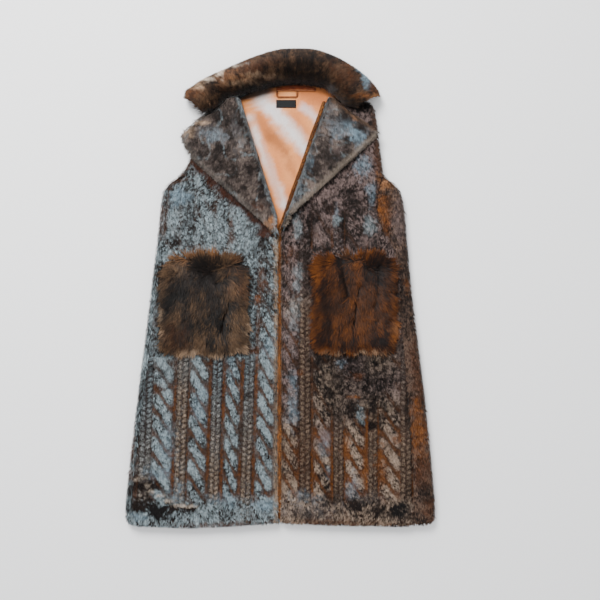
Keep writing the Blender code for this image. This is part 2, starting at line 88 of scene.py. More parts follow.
sky = bpy.data.worlds.new("sky")
sky.use_nodes = True
set_sockets(sky.node_tree.nodes["Background"], Color=(*SKY_TONE, 1), Strength=SKY_STRENGTH)
bpy.context.scene.world = sky

camera_data = bpy.data.cameras.new("camera")
camera_data.lens = LENS
camera_data.sensor_width = SENSOR
camera_data.clip_end = 30
camera = bpy.data.objects.new("camera", camera_data)
camera.location = (*VIEW_MIDDLE, CLOTH_HEIGHT + VIEW_WIDTH * LENS / SENSOR)
bpy.context.scene.collection.objects.link(camera)
bpy.context.scene.camera = camera


# The back panel: fur fabric with a short pile that lies on the ground. It is one piece, and it wraps round
# both sides onto the front face as far as the side seams. Its edges at the armholes are turned over.
MM = 0.001
SEAM = 0.0004
FUR = 0.0095
CLOTH = 0.0018
PILE_DEPTH = 0.0028
GROUND_CLEARANCE = 0.0002
LINING_TOP = FUR + SEAM + 0.0016
FRONT_BASE = LINING_TOP + SEAM
FRONT_TOP = FRONT_BASE + FUR
ROLL = FRONT_TOP / 2
LEAST_FLAP = 0.0004
HEM_Y = -0.456
HEM_CORNER = 0.016
HEM_BEND_REACH = 0.07
NECK_Y = 0.396
EDGE_STEPS = np.array([0, 0.0025, 0.008])
EDGE_FULLNESS = np.array([0.5, 0.85, 1.0])


def table(names, *rows):
    """A table of named columns: rows of millimetres become one array of metres for each name."""
    return dict(zip(names.split(), np.array(rows, float).T * MM))


OUTLINE = table(
    "y left right wrap_left wrap_right",
    (-456.0, -296.4, 296.4, 12, 40),
    (-410.0, -296.4, 296.4, 12, 41),
    (-304.0, -285.0, 286.9, 12, 35),
    (-212.8, -273.6, 277.4, 12, 32),
    (-121.6, -262.2, 266.0, 12, 29),
    (-30.4, -250.8, 254.6, 12, 26),
    (35.0, -242.6, 247.8, 12, 20),
    (74.0, -237.9, 244.5, 12, 26),
    (112.0, -233.8, 241.2, 12, 42),
    (152.0, -229.5, 237.5, 12, 52),
    (182.4, -226.1, 231.8, 12, 44),
    (197.6, -216.0, 220.4, 12, 28),
    (205.0, -206.0, 210.0, 12, 14),
    (213.0, -193.8, 199.5, 0, 0),
    (217.0, -190.5, 197.6, 0, 0),
    (243.2, -173.5, 194.0, 0, 0),
    (290.0, -160.0, 188.0, 0, 0),
    (338.0, -142.5, 182.0, 0, 0),
    (349.6, -118.0, 180.5, 0, 0),
    (370.0, -74.0, 128.0, 0, 0),
    (396.0, -28.0, 80.0, 0, 0),
)
HEM = table(
    "x rise",
    (-296, 5),
    (-180, 0),
    (-80, 4),
    (-6, 10),
    (4, 10),
    (100, 5),
    (230, 3.5),
    (296, 6),
)


def at(which, column, y):
    """A column of a table at height y, straight between its rows."""
    return np.interp(y, which["y"], which[column])


def hem_bend(x, y):
    """How far the hem's own curve lifts a point: all of it at the hem, none at HEM_BEND_REACH above."""
    share = np.clip(1 - (y - HEM_Y) / HEM_BEND_REACH, 0, 1)
    return share * np.interp(x, HEM["x"], HEM["rise"])


def hem_inset(y):
    """How far the round hem corners draw the sides in: a quarter circle of radius HEM_CORNER."""
    short = np.clip(HEM_CORNER - (y - HEM_Y), 0, HEM_CORNER)
    return HEM_CORNER - np.sqrt(HEM_CORNER**2 - short**2)


DYE_DEPTH = 1.42
DYE_LIGHT = 0.86
LATTICE = 128


def tone(red, green, blue):
    """A colour as it looks in the shaded pile, 0 to 255, as linear light; cloth dyes are deeper than that."""
    share = np.array([red, green, blue]) / 255
    linear = np.where(share <= 0.04045, share / 12.92, ((share + 0.055) / 1.055) ** 2.4)
    return DYE_LIGHT * linear**DYE_DEPTH


def cloud(x, y, size, seed):
    """Soft noise, 0 to 1: random values on a square lattice of that size, blended by smooth steps."""
    lattice = np.random.default_rng(seed).random((LATTICE, LATTICE))
    u, v = x / size + 64.3, y / size + 64.7
    i, j = np.floor(u).astype(int), np.floor(v).astype(int)
    a, b = u - i, v - j
    a, b = a * a * (3 - 2 * a), b * b * (3 - 2 * b)
    i, j, i_next, j_next = i % LATTICE, j % LATTICE, (i + 1) % LATTICE, (j + 1) % LATTICE
    near = lattice[i, j] * (1 - a) + lattice[i_next, j] * a
    far = lattice[i, j_next] * (1 - a) + lattice[i_next, j_next] * a
    return near * (1 - b) + far * b


def blotches(x, y, *layers):
    """Noise round 0: the sum of weight * (cloud - 1/2) over layers, each a weight, a size and a seed."""
    return sum(weight * (cloud(x, y, size, seed) - 0.5) for weight, size, seed in layers)


def mix(first, second, share):
    """Two dyes blended: all of the first where the share is 0, and all of the second where it is 1."""
    share = share[..., None]
    return first * (1 - share) + second * share


def unit(vectors):
    """Vectors of length 1."""
    return vectors / np.maximum(np.linalg.norm(vectors, axis=-1, keepdims=True), 1e-9)


def add_piece(name, points, faces, dye, spread, finish):
    """A mesh piece in the vest's body, whose points carry their dye and their spot on a flat spread."""
    mesh = bpy.data.meshes.new(name)
    mesh.from_pydata(points.tolist(), [], faces)
    colours = mesh.color_attributes.new("dye", "FLOAT_COLOR", "POINT")
    colours.data.foreach_set("color", np.c_[dye, np.ones(len(dye))].astype(np.float32).ravel())
    corner = np.empty(len(mesh.loops), np.int32)
    mesh.loops.foreach_get("vertex_index", corner)
    mesh.uv_layers.new(name="OFBake").data.foreach_set("uv", spread[corner].astype(np.float32).ravel())
    mesh.materials.append(finish)
    mesh.shade_smooth()
    made = bpy.data.objects.new(name, mesh)
    bpy.context.scene.collection.objects.link(made)
    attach(made, "root")
    return made


def cloth_shell(name, skin, dye, finish, thickness=CLOTH):
    """A thin closed shell: a grid of outer points, and a wall of that thickness on its inner side."""
    rows, columns = skin.shape[:2]
    number = np.arange(rows * columns).reshape(rows, columns)
    faces = np.stack([number[:-1, :-1], number[:-1, 1:], number[1:, 1:], number[1:, :-1]], axis=-1)
    v, u = np.meshgrid(np.linspace(0.02, 0.98, rows), np.linspace(0.02, 0.98, columns), indexing="ij")
    spread = np.stack([u.ravel(), v.ravel()], axis=-1)
    dye = np.broadcast_to(dye, (rows, columns, 3)).reshape(-1, 3)
    made = add_piece(name, skin.reshape(-1, 3), faces.reshape(-1, 4).tolist(), dye, spread, finish)
    wall = made.modifiers.new("wall", "SOLIDIFY")
    wall.thickness = thickness
    wall.offset = -1
    return made


def plant(skin, count, rng):
    """Places spread evenly over a grid of points: a cell picked by its area, then a random spot in it.

    Returns the places, the unit normals there, and their shares across and along the grid."""
    a, b, c, d = skin[:-1, :-1], skin[:-1, 1:], skin[1:, 1:], skin[1:, :-1]
    square = np.cross(c - a, d - b).reshape(-1, 3)
    area = np.linalg.norm(square, axis=1)
    cell = rng.choice(len(area), count, p=area / area.sum())
    s, t = rng.random((2, count, 1))
    a, b, c, d = (corner.reshape(-1, 3)[cell] for corner in (a, b, c, d))
    places = (a * (1 - s) + b * s) * (1 - t) + (d * (1 - s) + c * s) * t
    row, column = np.divmod(cell, skin.shape[1] - 1)
    across = (column + s[:, 0]) / (skin.shape[1] - 1)
    along = (row + t[:, 0]) / (skin.shape[0] - 1)
    return places, unit(square[cell]), across, along


def combed(normals, course):
    """Unit headings: the course laid flat on the skin, square to its normals."""
    flat = course - normals * (course * normals).sum(axis=1, keepdims=True)
    return unit(flat)


def pile(
    name, roots, normals, headings, length, width, rise, base, tips, finish, bends=(0.45,), curl=None
):
    """Strands of fur, joined in one mesh. A strand is a flat blade that leaves its root along its heading.

    At the share t of its length it stands rise * t * (2 - t) over the skin, bowed aside by curl * sin(pi t).
    It is a point at the root and at the tip, and tapers between. Its dye runs from base to tips. None of
    it goes under the ground. The spread gives each strand a small square of its own."""
    count = len(roots)
    stations = np.array([0, *bends, 1])
    share = stations[None, :, None]
    side = unit(np.cross(normals, headings))[:, None]
    spine = roots[:, None] + headings[:, None] * length[:, None, None] * share
    spine = spine + normals[:, None] * rise[:, None, None] * share * (2 - share)
    if curl is not None:
        spine = spine + side * curl[:, None, None] * np.sin(np.pi * share)
    taper = 1 - 0.55 * np.linspace(0, 1, len(bends) + 1)[:-1]
    half = side * (width[:, None] * taper / 2)[:, :, None]
    pairs = np.stack([spine[:, 1:-1] + half, spine[:, 1:-1] - half], axis=2).reshape(count, -1, 3)
    points = np.concatenate([spine[:, :1], pairs, spine[:, -1:]], axis=1)
    points[:, :, 2] = np.maximum(points[:, :, 2], GROUND_CLEARANCE)
    each = points.shape[1]
    first = np.arange(count)[:, None] * each
    ends = np.concatenate([first + [0, 2, 1], first + [each - 3, each - 2, each - 1]])
    faces = ends.tolist()
    for pair in range(1, each - 3, 2):
        faces += (first + [pair, pair + 1, pair + 3, pair + 2]).tolist()
    reach = np.repeat(stations, [1] + [2] * len(bends) + [1])[None, :, None]
    dye = base[:, None] * (1 - reach) + tips[:, None] * reach
    cells = math.ceil(math.sqrt(count))
    corner = np.stack(np.divmod(np.arange(count), cells), axis=-1)[:, None]
    aside = np.tile([0.15, 0.85], len(bends))
    inside = np.stack([[0.5, *aside, 0.5], reach[0, :, 0] * 0.8 + 0.1], axis=-1)
    spread = ((corner + inside) / cells).reshape(-1, 2)
    return add_piece(name, points.reshape(-1, 3), faces, dye.reshape(-1, 3), spread, finish)


def add_node(tree, kind, **values):
    """A shader node of that kind, with its sockets set by name."""
    return set_sockets(tree.nodes.new("ShaderNode" + kind), **values)


def link(tree, source, output, target, socket):
    """Joins one node's output to another's input."""
    tree.links.new(source.outputs[output], target.inputs[socket])


def fur_finish(name, roughness, sheen, grain=420, bump=0.0):
    """Fur: its dye, made uneven by a fine noise drawn out along the nap, with a soft sheen and roughness."""
    finish = bpy.data.materials.new(name)
    finish.use_nodes = True
    tree = finish.node_tree
    shader = tree.nodes["Principled BSDF"]
    set_sockets(shader, Sheen_Weight=sheen, Sheen_Roughness=0.45, Specular_IOR_Level=0.15)
    dye = add_node(tree, "Attribute")
    dye.attribute_name = "dye"
    place = add_node(tree, "TexCoord")
    drawn_out = add_node(tree, "Mapping", Scale=(1, 0.3, 1))
    noise = add_node(tree, "TexNoise", Scale=grain, Detail=3)
    link(tree, place, "Object", drawn_out, "Vector")
    link(tree, drawn_out, "Vector", noise, "Vector")
    uneven = add_node(tree, "MapRange", From_Min=0.3, From_Max=0.7, To_Min=0.62, To_Max=1.3)
    link(tree, noise, "Fac", uneven, "Value")
    shaded = add_node(tree, "VectorMath")
    shaded.operation = "SCALE"
    link(tree, dye, "Vector", shaded, "Vector")
    link(tree, uneven, "Result", shaded, "Scale")
    link(tree, shaded, "Vector", shader, "Base Color")
    gloss = add_node(tree, "MapRange", To_Min=roughness - 0.12, To_Max=roughness + 0.12)
    link(tree, noise, "Fac", gloss, "Value")
    link(tree, gloss, "Result", shader, "Roughness")
    if bump:
        relief = add_node(tree, "Bump", Strength=0.8, Distance=bump)
        link(tree, noise, "Fac", relief, "Height")
        link(tree, relief, "Normal", shader, "Normal")
    return finish


TONES = {
    "blue": tone(154, 173, 184),
    "frost": tone(180, 192, 196),
    "grey": tone(134, 130, 130),
    "violet": tone(144, 128, 124),
    "dark": tone(54, 38, 28),
    "umber": tone(46, 26, 12),
    "black": tone(30, 21, 17),
    "brown": tone(112, 78, 54),
    "rust": tone(142, 96, 50),
    "orange": tone(154, 104, 46),
    "tan": tone(186, 142, 104),
    "beige": tone(206, 182, 158),
    "cream": tone(226, 212, 196),
}

# Patches of other dye: tone, middle x and y and half sizes in millimetres, and how strongly it shows
SIDE_PATCHES = (
    ("brown", -205, 200, 30, 12, 0.9),
    ("brown", -224, 146, 7, 46, 0.75),
    ("tan", 205, 200, 24, 10, 0.75),
    ("orange", 198, 158, 14, 24, 0.85),
    ("dark", 208, 164, 6, 12, 0.8),
    ("rust", 202, 112, 7, 24, 0.7),
    ("violet", 226, 134, 12, 50, 0.7),
    ("dark", 236, 0, 16, 80, 0.7),
    ("rust", 243, 6, 7, 16, 0.7),
    ("brown", 266, -150, 20, 74, 0.8),
    ("rust", 264, -278, 18, 60, 0.8),
    ("orange", 262, -262, 8, 40, 0.6),
    ("brown", 272, -352, 18, 26, 0.8),
    ("dark", 278, -386, 18, 14, 0.9),
    ("brown", 284, -420, 14, 24, 0.8),
    ("rust", -283, -270, 6, 80, 0.7),
    ("dark", -284, -378, 10, 14, 0.8),
    ("black", -280, -414, 16, 20, 0.8),
)


def patched(colours, x, y, rows, fray=0.95):
    """Colours with patches laid over them: ellipses with frayed soft edges, speckled all over."""
    ragged = blotches(x, y, (fray, 0.014, 41), (1.2 * fray, 0.0045, 42))
    speckle = np.clip(0.35 + 1.1 * cloud(x, y, 0.0030, 43), 0, 1)
    grain = np.clip(0.20 + 0.9 * cloud(x, y, 0.0052, 3) + 0.8 * cloud(x, y, 0.0025, 4), 0.3, 1.35)[..., None]
    for name, middle_x, middle_y, half_x, half_y, strength in rows:
        reach = np.hypot((x / MM - middle_x) / half_x, (y / MM - middle_y) / half_y)
        share = np.clip(strength * speckle * np.clip(1.2 * (1.3 - reach + ragged), 0, 1), 0, 1)
        colours = mix(colours, TONES[name] * grain, share)
    return colours


def frosted(x, y, dark, light, middle, rng):
    """Tip colours between a dark and a light dye: broad and small blotches, specks, and strand by strand."""
    share = middle + blotches(x, y, (0.45, 0.05, 1), (0.45, 0.015, 2), (0.55, 0.0052, 3), (1.1, 0.0025, 4))
    share = share + 0.7 * (rng.random(np.shape(x)) - 0.5)
    return mix(dark, light, np.clip(0.5 + 1.25 * (share - 0.5), 0, 1))


def side_roll(wrap, thickness, steps, flap_steps):
    """The back panel's way round a side, as distances in from the edge and heights.

    It turns about the roll's middle: a quarter turn where nothing wraps, and half a turn before the
    flap that runs in over the front face."""
    turn = np.pi / 2 * (1 + min(1, wrap / ROLL))
    angles = np.linspace(0, turn, steps)
    radius = ROLL - FUR + thickness
    flap = max(LEAST_FLAP, wrap - ROLL) * np.linspace(0, 1, flap_steps + 1)[1:]
    distance = ROLL - radius * np.sin(angles)
    height = ROLL - radius * np.cos(angles)
    distance = np.append(distance, distance[-1] - np.cos(turn) * flap)
    height = np.append(height, height[-1] + np.sin(turn) * flap)
    return distance, height


ROLL_STEPS = 9
FLAP_STEPS = 5
MIDDLE_STEPS = 24
SIDE_COLUMNS = ROLL_STEPS + FLAP_STEPS


def back_skin(depth, row_gap):
    """The back panel's outer skin, that deep under the pile's tips: rows from hem to neck, from the right
    flap's end round under the vest to the left flap's end."""
    near_hem = HEM_Y + depth + np.array([0, 0.0025, 0.008, HEM_CORNER])
    above_hem = np.arange(HEM_Y + HEM_CORNER + row_gap, NECK_Y, row_gap)
    rows = np.concatenate([near_hem, above_hem, [NECK_Y - depth]])
    skin = []
    for y in rows:
        full = np.interp(y - HEM_Y, EDGE_STEPS, EDGE_FULLNESS)
        thickness = (FUR - depth) * full
        left = side_roll(at(OUTLINE, "wrap_left", y), thickness, ROLL_STEPS, FLAP_STEPS)
        right = side_roll(at(OUTLINE, "wrap_right", y), thickness, ROLL_STEPS, FLAP_STEPS)
        left_x = at(OUTLINE, "left", y) + hem_inset(y) + left[0]
        right_x = at(OUTLINE, "right", y) - hem_inset(y) - right[0]
        middle_x = np.linspace(right_x[0], left_x[0], MIDDLE_STEPS + 2)[1:-1]
        x = np.concatenate([right_x[::-1], middle_x, left_x])
        z = np.concatenate([right[1][::-1], np.full(MIDDLE_STEPS, left[1][0]), left[1]])
        skin.append(np.stack([x, y + hem_bend(x, y), z], axis=-1))
    return np.array(skin)


def back_dye(x, y, rng):
    """The back's tips: frosted grey on the left, violet brown on the right, and the side strips' patches."""
    right = np.clip((x + 0.02) / 0.06, 0, 1)
    left_tips = frosted(x, y, TONES["dark"], TONES["frost"], 0.5, rng)
    right_tips = frosted(x, y, TONES["dark"] * 0.8, tone(148, 126, 112), 0.46, rng)
    return patched(mix(left_tips, right_tips, right), x, y, SIDE_PATCHES)


BACK_SIDE_STRANDS = 17000
BACK_UNDER_STRANDS = 31000

rng = np.random.default_rng(7)
short_pile_finish = fur_finish("short_pile", 0.7, 0.1)
underfur_finish = fur_finish("underfur", 0.85, 0.05, grain=260, bump=0.0012)
back_form = back_skin(PILE_DEPTH, 0.012)
back_shell_dye = back_dye(back_form[..., 0], back_form[..., 1], rng) * 0.45
back = cloth_shell("back_cloth", back_form, back_shell_dye, underfur_finish)
right_side = plant(back_form[:, : SIDE_COLUMNS + 1], BACK_SIDE_STRANDS, rng)
left_side = plant(back_form[:, -SIDE_COLUMNS - 1 :], BACK_SIDE_STRANDS // 2, rng)
underside = plant(back_form[:, SIDE_COLUMNS - 3 : 3 - SIDE_COLUMNS], BACK_UNDER_STRANDS, rng)
back_roots, back_normals = (
    np.concatenate([part[k] for part in (right_side, left_side, underside)]) for k in (0, 1)
)
under = np.arange(len(back_roots)) >= BACK_SIDE_STRANDS + BACK_SIDE_STRANDS // 2
back_count = len(back_roots)
back_course = np.c_[rng.normal(0, 0.45, back_count), -np.ones(back_count), rng.normal(0, 0.2, back_count)]
back_hem = np.interp(back_roots[:, 1] - HEM_Y, [0, 0.02], [0.3, 1])
back_tips = back_dye(back_roots[:, 0], back_roots[:, 1], rng)
back_pile = pile(
    "back_pile",
    back_roots,
    back_normals,
    combed(back_normals, back_course),
    np.where(under, 0.017, 0.008) * rng.uniform(0.8, 1.2, back_count) * back_hem,
    np.where(under, 0.0026, 0.0013) * rng.uniform(0.8, 1.2, back_count),
    np.where(under, 0.0022, 0.0030) * rng.uniform(0.7, 1.3, back_count),
    back_tips * 0.35,
    back_tips,
    short_pile_finish,
)
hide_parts("back")


# The lining: thin brushed cloth in peach and tan with pale bands, sewn in between back and fronts. It shows
# in the V of the neck, where a few soft folds run down from the left shoulder.
LINING_CLOTH = 0.0010
LINING_NECK = 0.3945
LINING_OPEN = 0.09
COARSE_ROWS = 0.03
FINE_ROWS = 0.003

# Folds: each a line's start and end, its half width and its height in millimetres
FOLDS = table(
    "start_x start_y end_x end_y width height",
    (-46, 342, 26, 244, 11, 2.0),
    (-30, 330, 6, 250, 5, 1.2),
    (-52, 300, -10, 200, 8, 1.8),
    (40, 350, 62, 290, 8, 1.6),
    (-20, 372, 40, 300, 9, 1.8),
    (60, 372, 30, 330, 6, 1.2),
    (-6, 250, 8, 160, 6, 1.4),
    (-120, 60, -60, -180, 14, 0.4),
    (60, 20, 130, -220, 16, 0.4),
)

# Bands: tone, start x and y, end x and y and half width in millimetres, and how strongly it shows
BANDS = (
    ((228, 228, 228), -34, 362, 46, 268, 13, 0.85),
    ((226, 222, 220), -58, 322, 8, 160, 8, 0.8),
    ((224, 222, 226), 44, 346, 74, 318, 8, 0.6),
    ((226, 224, 226), -42, 352, -16, 344, 9, 0.6),
    ((192, 134, 90), -50, 344, -20, 290, 9, 0.65),
    ((174, 120, 78), -20, 290, 10, 262, 10, 0.7),
    ((186, 128, 84), 10, 262, 28, 214, 8, 0.6),
    ((184, 124, 84), 40, 376, 84, 356, 9, 0.5),
    ((206, 144, 100), 22, 340, 48, 300, 8, 0.4),
    ((212, 146, 98), -34, 280, 0, 170, 5, 0.5),
)

# The foot of the collar, below which the lining is darkened by painted shadow
COLLAR_FOOT = table(
    "x y",
    (-97, 364),
    (-70, 368.5),
    (-42, 375.6),
    (-15, 383.8),
    (10, 388),
    (53, 388),
    (86, 379.5),
    (96, 369.5),
)
COLLAR_FOOT_SHADE = 0.013

# The left and right sides of the V that shows the lining
V_LEFT = table("y x", (104.5, -4.6), (361.0, -74.3))
V_RIGHT = table("y x", (116.0, 3.6), (361.0, 88.7))

# Where the label and the loop hold the lining flat
SEWN = {"x": 0.0134, "y": 0.3605, "half_x": 0.0211, "half_y": 0.0160}


def along_line(x, y, start_x, start_y, end_x, end_y):
    """For each place, its share of the way from start to end, and its distance from that line."""
    run_x, run_y = end_x - start_x, end_y - start_y
    size = math.hypot(run_x, run_y)
    share = ((x - start_x) * run_x + (y - start_y) * run_y) / size**2
    away = np.abs((x - start_x) * run_y - (y - start_y) * run_x) / size
    return share, away


def fold_height(x, y, folds):
    """Soft ridges and troughs: each a bell across its line and half a sine along it."""
    height = np.zeros_like(x)
    for start_x, start_y, end_x, end_y, width, rise in zip(*folds.values()):
        share, away = along_line(x, y, start_x, start_y, end_x, end_y)
        height += rise * np.exp(-((away / width) ** 2)) * np.sin(np.pi * np.clip(share, 0, 1))
    return height


def lining_dye(x, y):
    """Peach with tan blotches, pale bands whose long soft edges are a little ragged, and a painted shadow
    below the collar's foot.
    """
    colours = mix(tone(240, 182, 132), tone(216, 150, 100), cloud(x * 2, y, 0.05, 11))
    ragged = blotches(x, y, (0.7, 0.016, 12), (0.6, 0.005, 13))
    for rgb, start_x, start_y, end_x, end_y, width, strength in BANDS:
        share, away = along_line(x / MM, y / MM, start_x, start_y, end_x, end_y)
        past = np.maximum(np.abs(share - 0.5) - 0.5, 0) * math.hypot(end_x - start_x, end_y - start_y)
        reach = np.hypot(away, past) / width
        colours = mix(colours, tone(*rgb), strength * np.clip(0.7 * (1.7 - reach + ragged), 0, 1))
    # Painted shadow: the lining darkens towards the collar's foot, nearly black on the left where the collar
    # overhangs it.
    neck = np.interp(x, COLLAR_FOOT["x"], COLLAR_FOOT["y"])
    collar_shadow = np.clip((y - neck + COLLAR_FOOT_SHADE) / 0.006, 0, 1)
    collar_shadow = collar_shadow * np.interp(x, [-0.02, 0.0], [0.93, 0.35])
    return colours * (1 - collar_shadow[..., None]) * 1.04


hidden_rows = np.arange(HEM_Y + 2 * HEM_CORNER, LINING_OPEN - 0.005, COARSE_ROWS)
open_rows = np.arange(LINING_OPEN, LINING_NECK, FINE_ROWS)
lining_rows = np.concatenate([hidden_rows, open_rows, [LINING_NECK]])[:, None]
wrap_left = np.maximum(at(OUTLINE, "wrap_left", lining_rows), ROLL + SEAM)
wrap_right = np.maximum(at(OUTLINE, "wrap_right", lining_rows), ROLL + SEAM)
lining_left = at(OUTLINE, "left", lining_rows) + wrap_left + SEAM
lining_right = at(OUTLINE, "right", lining_rows) - wrap_right - SEAM
lining_middle = np.linspace(0.3, 0.8, 56)
lining_across = np.concatenate([np.linspace(0, 0.3, 6)[:-1], lining_middle, np.linspace(0.8, 1, 5)[1:]])
lining_x = lining_left + (lining_right - lining_left) * lining_across
lining_y = lining_rows + hem_bend(lining_x, lining_rows)
open_share = np.clip((lining_y - 0.1) / 0.05, 0, 1) * np.clip((0.385 - lining_y) / 0.01, 0, 1)
open_share = open_share * np.clip((lining_x - at(V_LEFT, "x", lining_y)) / 0.008, 0, 1)
open_share = open_share * np.clip((at(V_RIGHT, "x", lining_y) - lining_x) / 0.008, 0, 1)
past_sewn_x = np.abs(lining_x - SEWN["x"]) - SEWN["half_x"]
past_sewn_y = np.abs(lining_y - SEWN["y"]) - SEWN["half_y"]
open_share = open_share * np.clip(np.maximum(past_sewn_x, past_sewn_y) / 0.006, 0, 1)
lining_z = LINING_TOP - 0.0001 + fold_height(lining_x, lining_y, FOLDS) * open_share
lining_skin = np.stack([lining_x, lining_y, lining_z], axis=-1)


def brushed_finish():
    """Brushed cloth: its dye with a fine fibre grain and a soft nap in the bump."""
    finish = fur_finish("brushed_lining", 0.85, 0.4, grain=900, bump=0.0004)
    uneven = next(node for node in finish.node_tree.nodes if node.type == "MAP_RANGE")
    set_sockets(uneven, To_Min=0.9, To_Max=1.1)
    return finish


lining_shell = cloth_shell(
    "lining_cloth",
    lining_skin,
    lining_dye(lining_x, lining_y),
    brushed_finish(),
    thickness=LINING_CLOTH,
)
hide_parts("lining")


# The two fronts: the same fur fabric, its pile pressed into cable columns. Ropes of two strands stand
# between braids of small V stitches, with rust gutters, and the pile is fluffier at the chest and the hem.
ARMHOLE_FOOT = 0.214
ARMHOLE_RIM = 0.004
FRONT_EDGE = {-1: -0.0057, 1: 0.0030}
NOSE = 0.007
ROPE_PITCH = 0.042
ROPE_HEIGHT = 0.0038
ROPE_TWIST = 1.0
COLUMN_SPREAD = 1.12
BRAID_PITCH = 0.0098
BRAID_HEIGHT = 0.0026
GUTTER_DEPTH = 0.0012
CABLE_ROW = -0.327
SLANT = {-1: 0.033, 1: 0.0}
PLAIN_MARGIN = 0.004
FADE = 0.009
SHOULDER_PLAIN = 0.3
BUBBLE = 0.0165
BUBBLE_HEIGHT = 0.0042
BUBBLE_FIELD = {"x": 0.150, "y": -0.172, "half_x": 0.094, "half_y": 0.086}
FRONT_ROW_GAP = 0.0055
FRONT_COLUMNS = 80
HIDDEN_MARGIN = 0.012
LAPEL_LEFT = table(
    "y outer",
    (104.5, -8.6),
    (117.8, -20.1),
    (138.7, -43.3),
    (167.2, -74.9),
    (195.7, -106.4),
    (224.2, -137.8),
    (250.8, -167.2),
    (269.8, -178.6),
    (288.8, -185.3),
    (301.0, -176.0),
    (319.2, -154.5),
    (327.0, -143.5),
    (334.4, -125.4),
    (345.8, -113.6),
    (361.0, -96.9),
)
LAPEL_RIGHT = table(
    "y outer",
    (116.0, 7.6),
    (142.5, 20.9),
    (167.2, 47.5),
    (195.7, 78.0),
    (224.2, 108.7),
    (250.8, 137.2),
    (269.8, 157.7),
    (286.0, 175.5),
    (294.5, 184.3),
    (304.0, 171.0),
    (319.2, 151.0),
    (334.4, 131.0),
    (345.8, 116.5),
    (361.0, 98.0),
)
LAPELS = {-1: LAPEL_LEFT, 1: LAPEL_RIGHT}
ROLL_LINES = {
    -1: table("y x", (104.5, -4.6), (138.7, -4.6), (361.0, -74.3)),
    1: table("y x", (116.0, 3.6), (361.0, 88.7)),
}
ROPES = {
    -1: table("start end", (-245.1, -209), (-174.8, -142.5), (-106.4, -81.7), (-45.6, -16)),
    1: table("start end", (4, 33.3), (64.6, 95), (125.4, 159.6), (190, 228)),
}
BRAIDS = {
    -1: table("start end", (-267.9, -247), (-199.5, -180.5), (-133, -115.9), (-72.2, -55.1)),
    1: table("start end", (38, 57), (102.6, 119.7), (169.1, 184.3), (229.9, 248.9)),
}
POCKETS = {
    -1: dict(x=-0.1446, y=-0.0295, half_width=0.084, half_height=0.094, taper=0.005),
    1: dict(x=0.1416, y=-0.0285, half_width=0.0775, half_height=0.093, taper=0.001),
}

